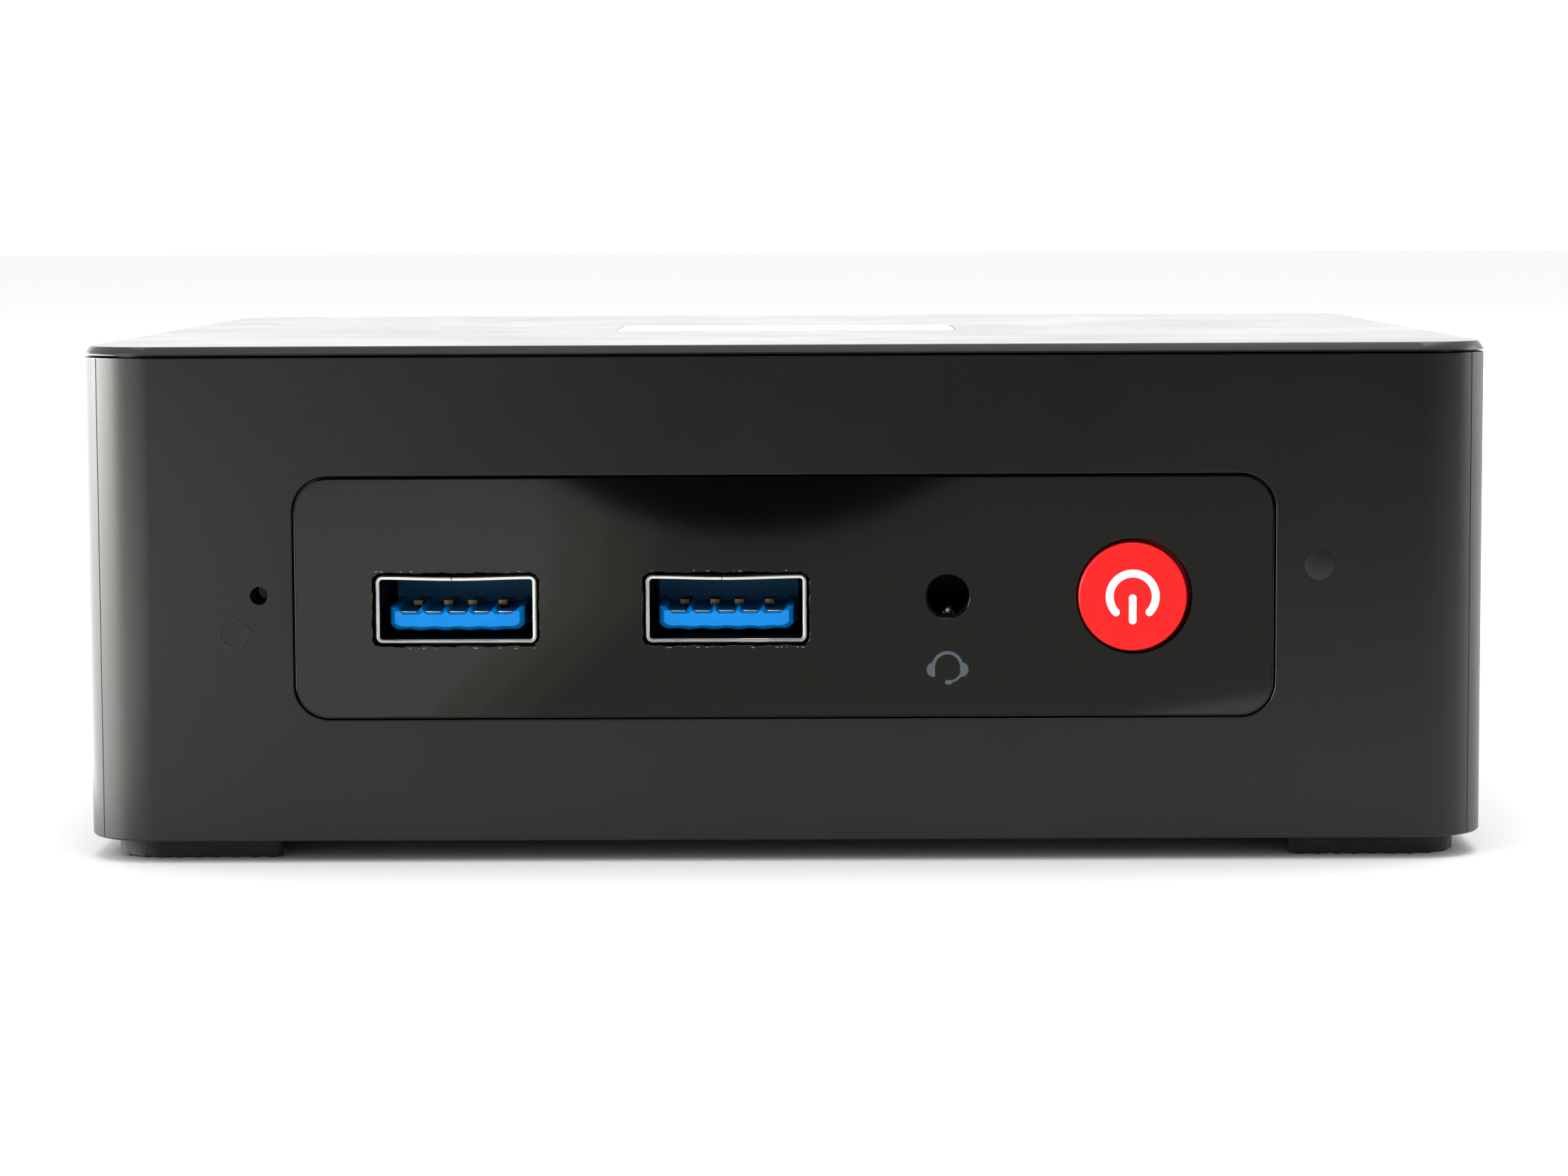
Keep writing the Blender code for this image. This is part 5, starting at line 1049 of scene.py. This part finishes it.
class MINIPC_OT_light_window(Maker, bpy.types.Operator):
    """Status light window"""

    bl_idname = "minipc.light_window"
    bl_label = "Light window"

    def execute(self, context):
        at, size = mouth_of("led_light_pipe")
        window = form(circle(size[0], steps=40), [(1.2, 0.0), (0.04, 0.01), (0.0, 0.03), (0.0, size[1])], at)
        piece("light_window", [window], "smoked_acrylic", nodes=["led_light_pipe"])
        return {"FINISHED"}


class MINIPC_OT_feet(Maker, bpy.types.Operator):
    """Four rubber feet with ribs under them, and the screws that go up through them"""

    bl_idname = "minipc.feet"
    bl_label = "Feet"

    def execute(self, context):
        for end in ("front", "rear"):
            for side in SIDES:
                self.foot(end, side, context.scene.mini_pc_case)
                screw(f"cover_screw_{end}_{side}")
        return {"FINISHED"}

    def foot(self, end, side, case):
        """A sole with a plug on it, each an outline carried upwards, and a hole through both.

        In plan the sole is a kite: from the plug's inner corner moved outwards by the lean to the
        plug's outer corner moved outwards by the reach. The ribs are what parallel grooves leave.
        """
        low, high = box_of(f"foot_{end}_{side}")
        way = np.array([1 if side == "right" else -1, 1 if end == "rear" else -1])
        inner, size = np.where(way > 0, low[:2], high[:2]), (high - low)[:2]
        reach, pitch = case.sole_reach / MM, case.rib_pitch / MM
        kite = plan((0.0, 0.0), size + reach)
        kite[0] = case.sole_lean / MM
        turn = slice(None, None, int(np.prod(way)))
        sole = filleted((inner + way * kite)[turn], np.array([1.2, 0.4, 4.0, 0.4])[turn], 12)
        plug = filleted((inner + way * plan((0.0, 0.0), size))[turn], np.array([1.2, 0.4, 3.6, 0.4])[turn], 12)
        top = box_of("main_shell")[0][2] - 0.06
        made = solid(f"foot_{end}_{side}_ribbed", [skin(rings(sole, [(0.0, 0.0), (0.0, top - 0.08), (0.08, top)]))])
        cut(made, [skin(rings(plug, [(0.1, top - 0.4), (0.1, high[2])]))], "UNION")
        grooves = np.zeros((10, 3))
        grooves[:, 0] = (low[0] + high[0] + way[0] * reach) / 2 + (np.arange(10) - 4.5) * pitch
        grooves[:, 1] = inner[1] + way[1] * size[1] / 2
        cut(made, [blocks(grooves, (pitch - case.rib_width / MM, 40.0, 2 * case.rib_height / MM))])
        centre = middle(f"cover_screw_{end}_{side}")[:2]
        cut(made, [skin(rings(circle(6.2, centre, 48), [(-0.2, -1.0), (-0.2, 0.0), (0.0, 0.2), (0.0, 5.0)]))])
        finished(made, "tpe_rubber", nodes=[f"foot_{end}_{side}"], sharp=35, bevel=0.04)


class MINIPC_OT_rear_sockets(Maker, bpy.types.Operator):
    """Rear sockets: double blue socket, two display sockets, network socket and power inlet"""

    bl_idname = "minipc.rear_sockets"
    bl_label = "Rear sockets"

    def execute(self, context):
        self.double_usb(context.scene.mini_pc_sockets)
        for side in SIDES:
            self.hdmi(side)
        self.network()
        self.power_inlet()
        return {"FINISHED"}

    def double_usb(self, sockets, metal=0.3):
        """Folded tower with a bar across its middle, and a port above and below the bar."""
        at, size = mouth_of("rear_usb_shell", -1)
        shape = refined(rounded(size[0], size[2], 0.55, 8), 0.5)
        tower = solid("rear_usb_sleeve", [form(shape, sleeve_levels(size[1], metal), at, -1, loop=True)])
        bar = [(0.08, 0.35), (0.0, 0.45), (0.0, size[1] - 0.2)]
        cut(tower, [form(rounded(size[0] - 0.5, 2.7, 0.1, 2), bar, at, -1)], "UNION")
        finished(tower, "nickel_plated_steel", nodes=["rear_usb_shell"])
        # Painted shade on the deep inside of the tower.
        paint_shade_inside(tower, at, -1, size, metal)
        for place, height in (("upper", 20.75), ("lower", 12.45)):
            port_at = (at[0], at[1], height)
            usb_port(f"rear_usb_{place}", port_at, -1, size[0], 5.5, sockets, f"rear_usb_tongue_{place}")

    def hdmi(self, side, metal=0.32):
        """Folded sleeve with cut lower corners, and a tongue with fine contacts on both faces."""
        at, size = mouth_of(f"hdmi_shell_{side}", -1)
        wall = form(hdmi_outline(size[0], size[2]), sleeve_levels(size[1], metal), at, -1, loop=True)
        sleeve = piece(f"hdmi_sleeve_{side}", [wall], "nickel_plated_steel", nodes=[f"hdmi_shell_{side}"])
        # Painted shade on the deep inside of the sleeve.
        paint_shade_inside(sleeve, at, -1, size, metal)
        tongue = form(rounded(11.6, 1.5, 0.25, 4, (0.0, 0.25)), [(0.2, 1.0), (0.0, 1.25), (0.0, 10.9)], at, -1)
        back = form(hdmi_outline(size[0] - 1.2, size[2] - 1.2), [(0.0, 9.5), (0.0, 11.2)], at, -1)
        piece(f"hdmi_tongue_{side}_moulded", [tongue, back], "black_nylon", nodes=[f"hdmi_tongue_{side}"])
        rows = [row_of_blocks(np.arange(start, -start + 0.5), v, 5.2, (0.36, 0.1, 7.6), at, -1)
                for start, v in ((-4.5, 1.02), (-4.0, -0.52))]
        piece(f"hdmi_contacts_{side}", rows, "gold_plated_contact")

    def network(self):
        """Metal-clad network socket: stepped opening, eight sprung contacts and two light windows."""
        at, size = mouth_of("ethernet_jack", -1)
        width, depth, height = size
        levels = [(0.06, 0.0), (0.0, 0.06), (0.0, depth), (0.3, depth), (0.3, 0.06), (0.24, 0.0)]
        can = form(rounded(width, height, 0.35, 4), levels, at, -1, loop=True)
        piece("network_can", [can], "nickel_plated_steel", nodes=["ethernet_jack"])
        insert = rounded(width - 0.6, height - 0.6, 0.2, 3)
        inner = solid("network_insert", [form(insert, [(0.0, 0.25), (0.0, 20.6)], at, -1)])
        rise = 18.0 - at[2]
        mouth = [(-0.15, -0.5), (-0.15, 0.25), (0.0, 0.4), (0.0, 14.0)]
        cut(inner, [form(rounded(11.9, 8.2, 0.2, 3, (0.0, rise)), mouth, at, -1),
                    form(rounded(5.6, 3.0, 0.2, 3, (0.0, rise - 4.4)), [(0.0, -0.5), (0.0, 12.0)], at, -1)])
        finished(inner, "black_nylon", bevel=0.05)
        row = row_of_blocks((np.arange(8) - 3.5) * 1.02, rise + 2.2, 6.2, (0.32, 0.3, 8.0), at, -1, -2.6)
        piece("network_contacts", [row], "gold_plated_contact")
        lamps = row_of_blocks((-6.3, 6.3), -5.0, 0.3, (2.2, 1.6, 0.4), at, -1)
        piece("network_lights", [lamps], "smoked_acrylic", bevel=0.1)

    def power_inlet(self):
        """Black inlet block with a round bore lined with metal, and the pin in its middle."""
        at, size = mouth_of("dc_jack", -1)
        shape = rounded(size[0], size[2], 0.5, 5)
        block = solid("inlet_block", [form(shape, [(0.15, 0.0), (0.0, 0.15), (0.0, size[1])], at, -1)])
        cut(block, [form(circle(6.6, steps=64), [(-0.3, -0.5), (-0.3, 0.0), (0.0, 0.3), (0.0, 10.0)], at, -1)])
        finished(block, "black_nylon", nodes=["dc_jack"])
        lining = form(circle(6.58), [(0.0, 1.2), (0.0, 9.8), (0.22, 9.8), (0.22, 1.2)], at, -1, loop=True)
        piece("inlet_lining", [lining], "nickel_plated_steel")
        at, size = mouth_of("dc_jack_pin", -1)
        pin = form(circle(2.4, steps=40), [(1.1, 0.0), *arc((0.5, 0.0), (0.0, 0.5), 0, 5), (0.0, size[1])], at, -1)
        piece("inlet_pin", [pin], "nickel_plated_steel", nodes=["dc_jack_pin"])


STEPS = (
    MINIPC_OT_stage, MINIPC_OT_finishes, MINIPC_OT_shell, MINIPC_OT_lid, MINIPC_OT_front_panel,
    MINIPC_OT_front_sockets, MINIPC_OT_power_button, MINIPC_OT_light_window, MINIPC_OT_feet, MINIPC_OT_rear_sockets,
)
GROUPS = {
    "mini_pc_case": MiniPcCase, "mini_pc_front": MiniPcFront,
    "mini_pc_sockets": MiniPcSockets, "mini_pc_studio": MiniPcStudio,
}


class MINIPC_PT_panel(bpy.types.Panel):
    """Lists the sizes and the operators"""

    bl_idname = "MINIPC_PT_panel"
    bl_label = "Mini PC"
    bl_space_type = "VIEW_3D"
    bl_region_type = "UI"
    bl_category = "Mini PC"

    def draw(self, context):
        for key, kind in GROUPS.items():
            box = self.layout.box()
            for name in kind.__annotations__:
                box.prop(getattr(context.scene, key), name)
        for step in STEPS:
            self.layout.operator(step.bl_idname)


CLASSES = (*GROUPS.values(), *STEPS, MINIPC_PT_panel)


def register():
    for cls in CLASSES:
        bpy.utils.register_class(cls)
    for name, group in GROUPS.items():
        setattr(bpy.types.Scene, name, PointerProperty(type=group))


def unregister():
    for name in GROUPS:
        delattr(bpy.types.Scene, name)
    for cls in reversed(CLASSES):
        bpy.utils.unregister_class(cls)


def main():
    register()
    for step in STEPS:
        family, name = step.bl_idname.split(".")
        getattr(getattr(bpy.ops, family), name)()


if __name__ == "__main__":
    main()
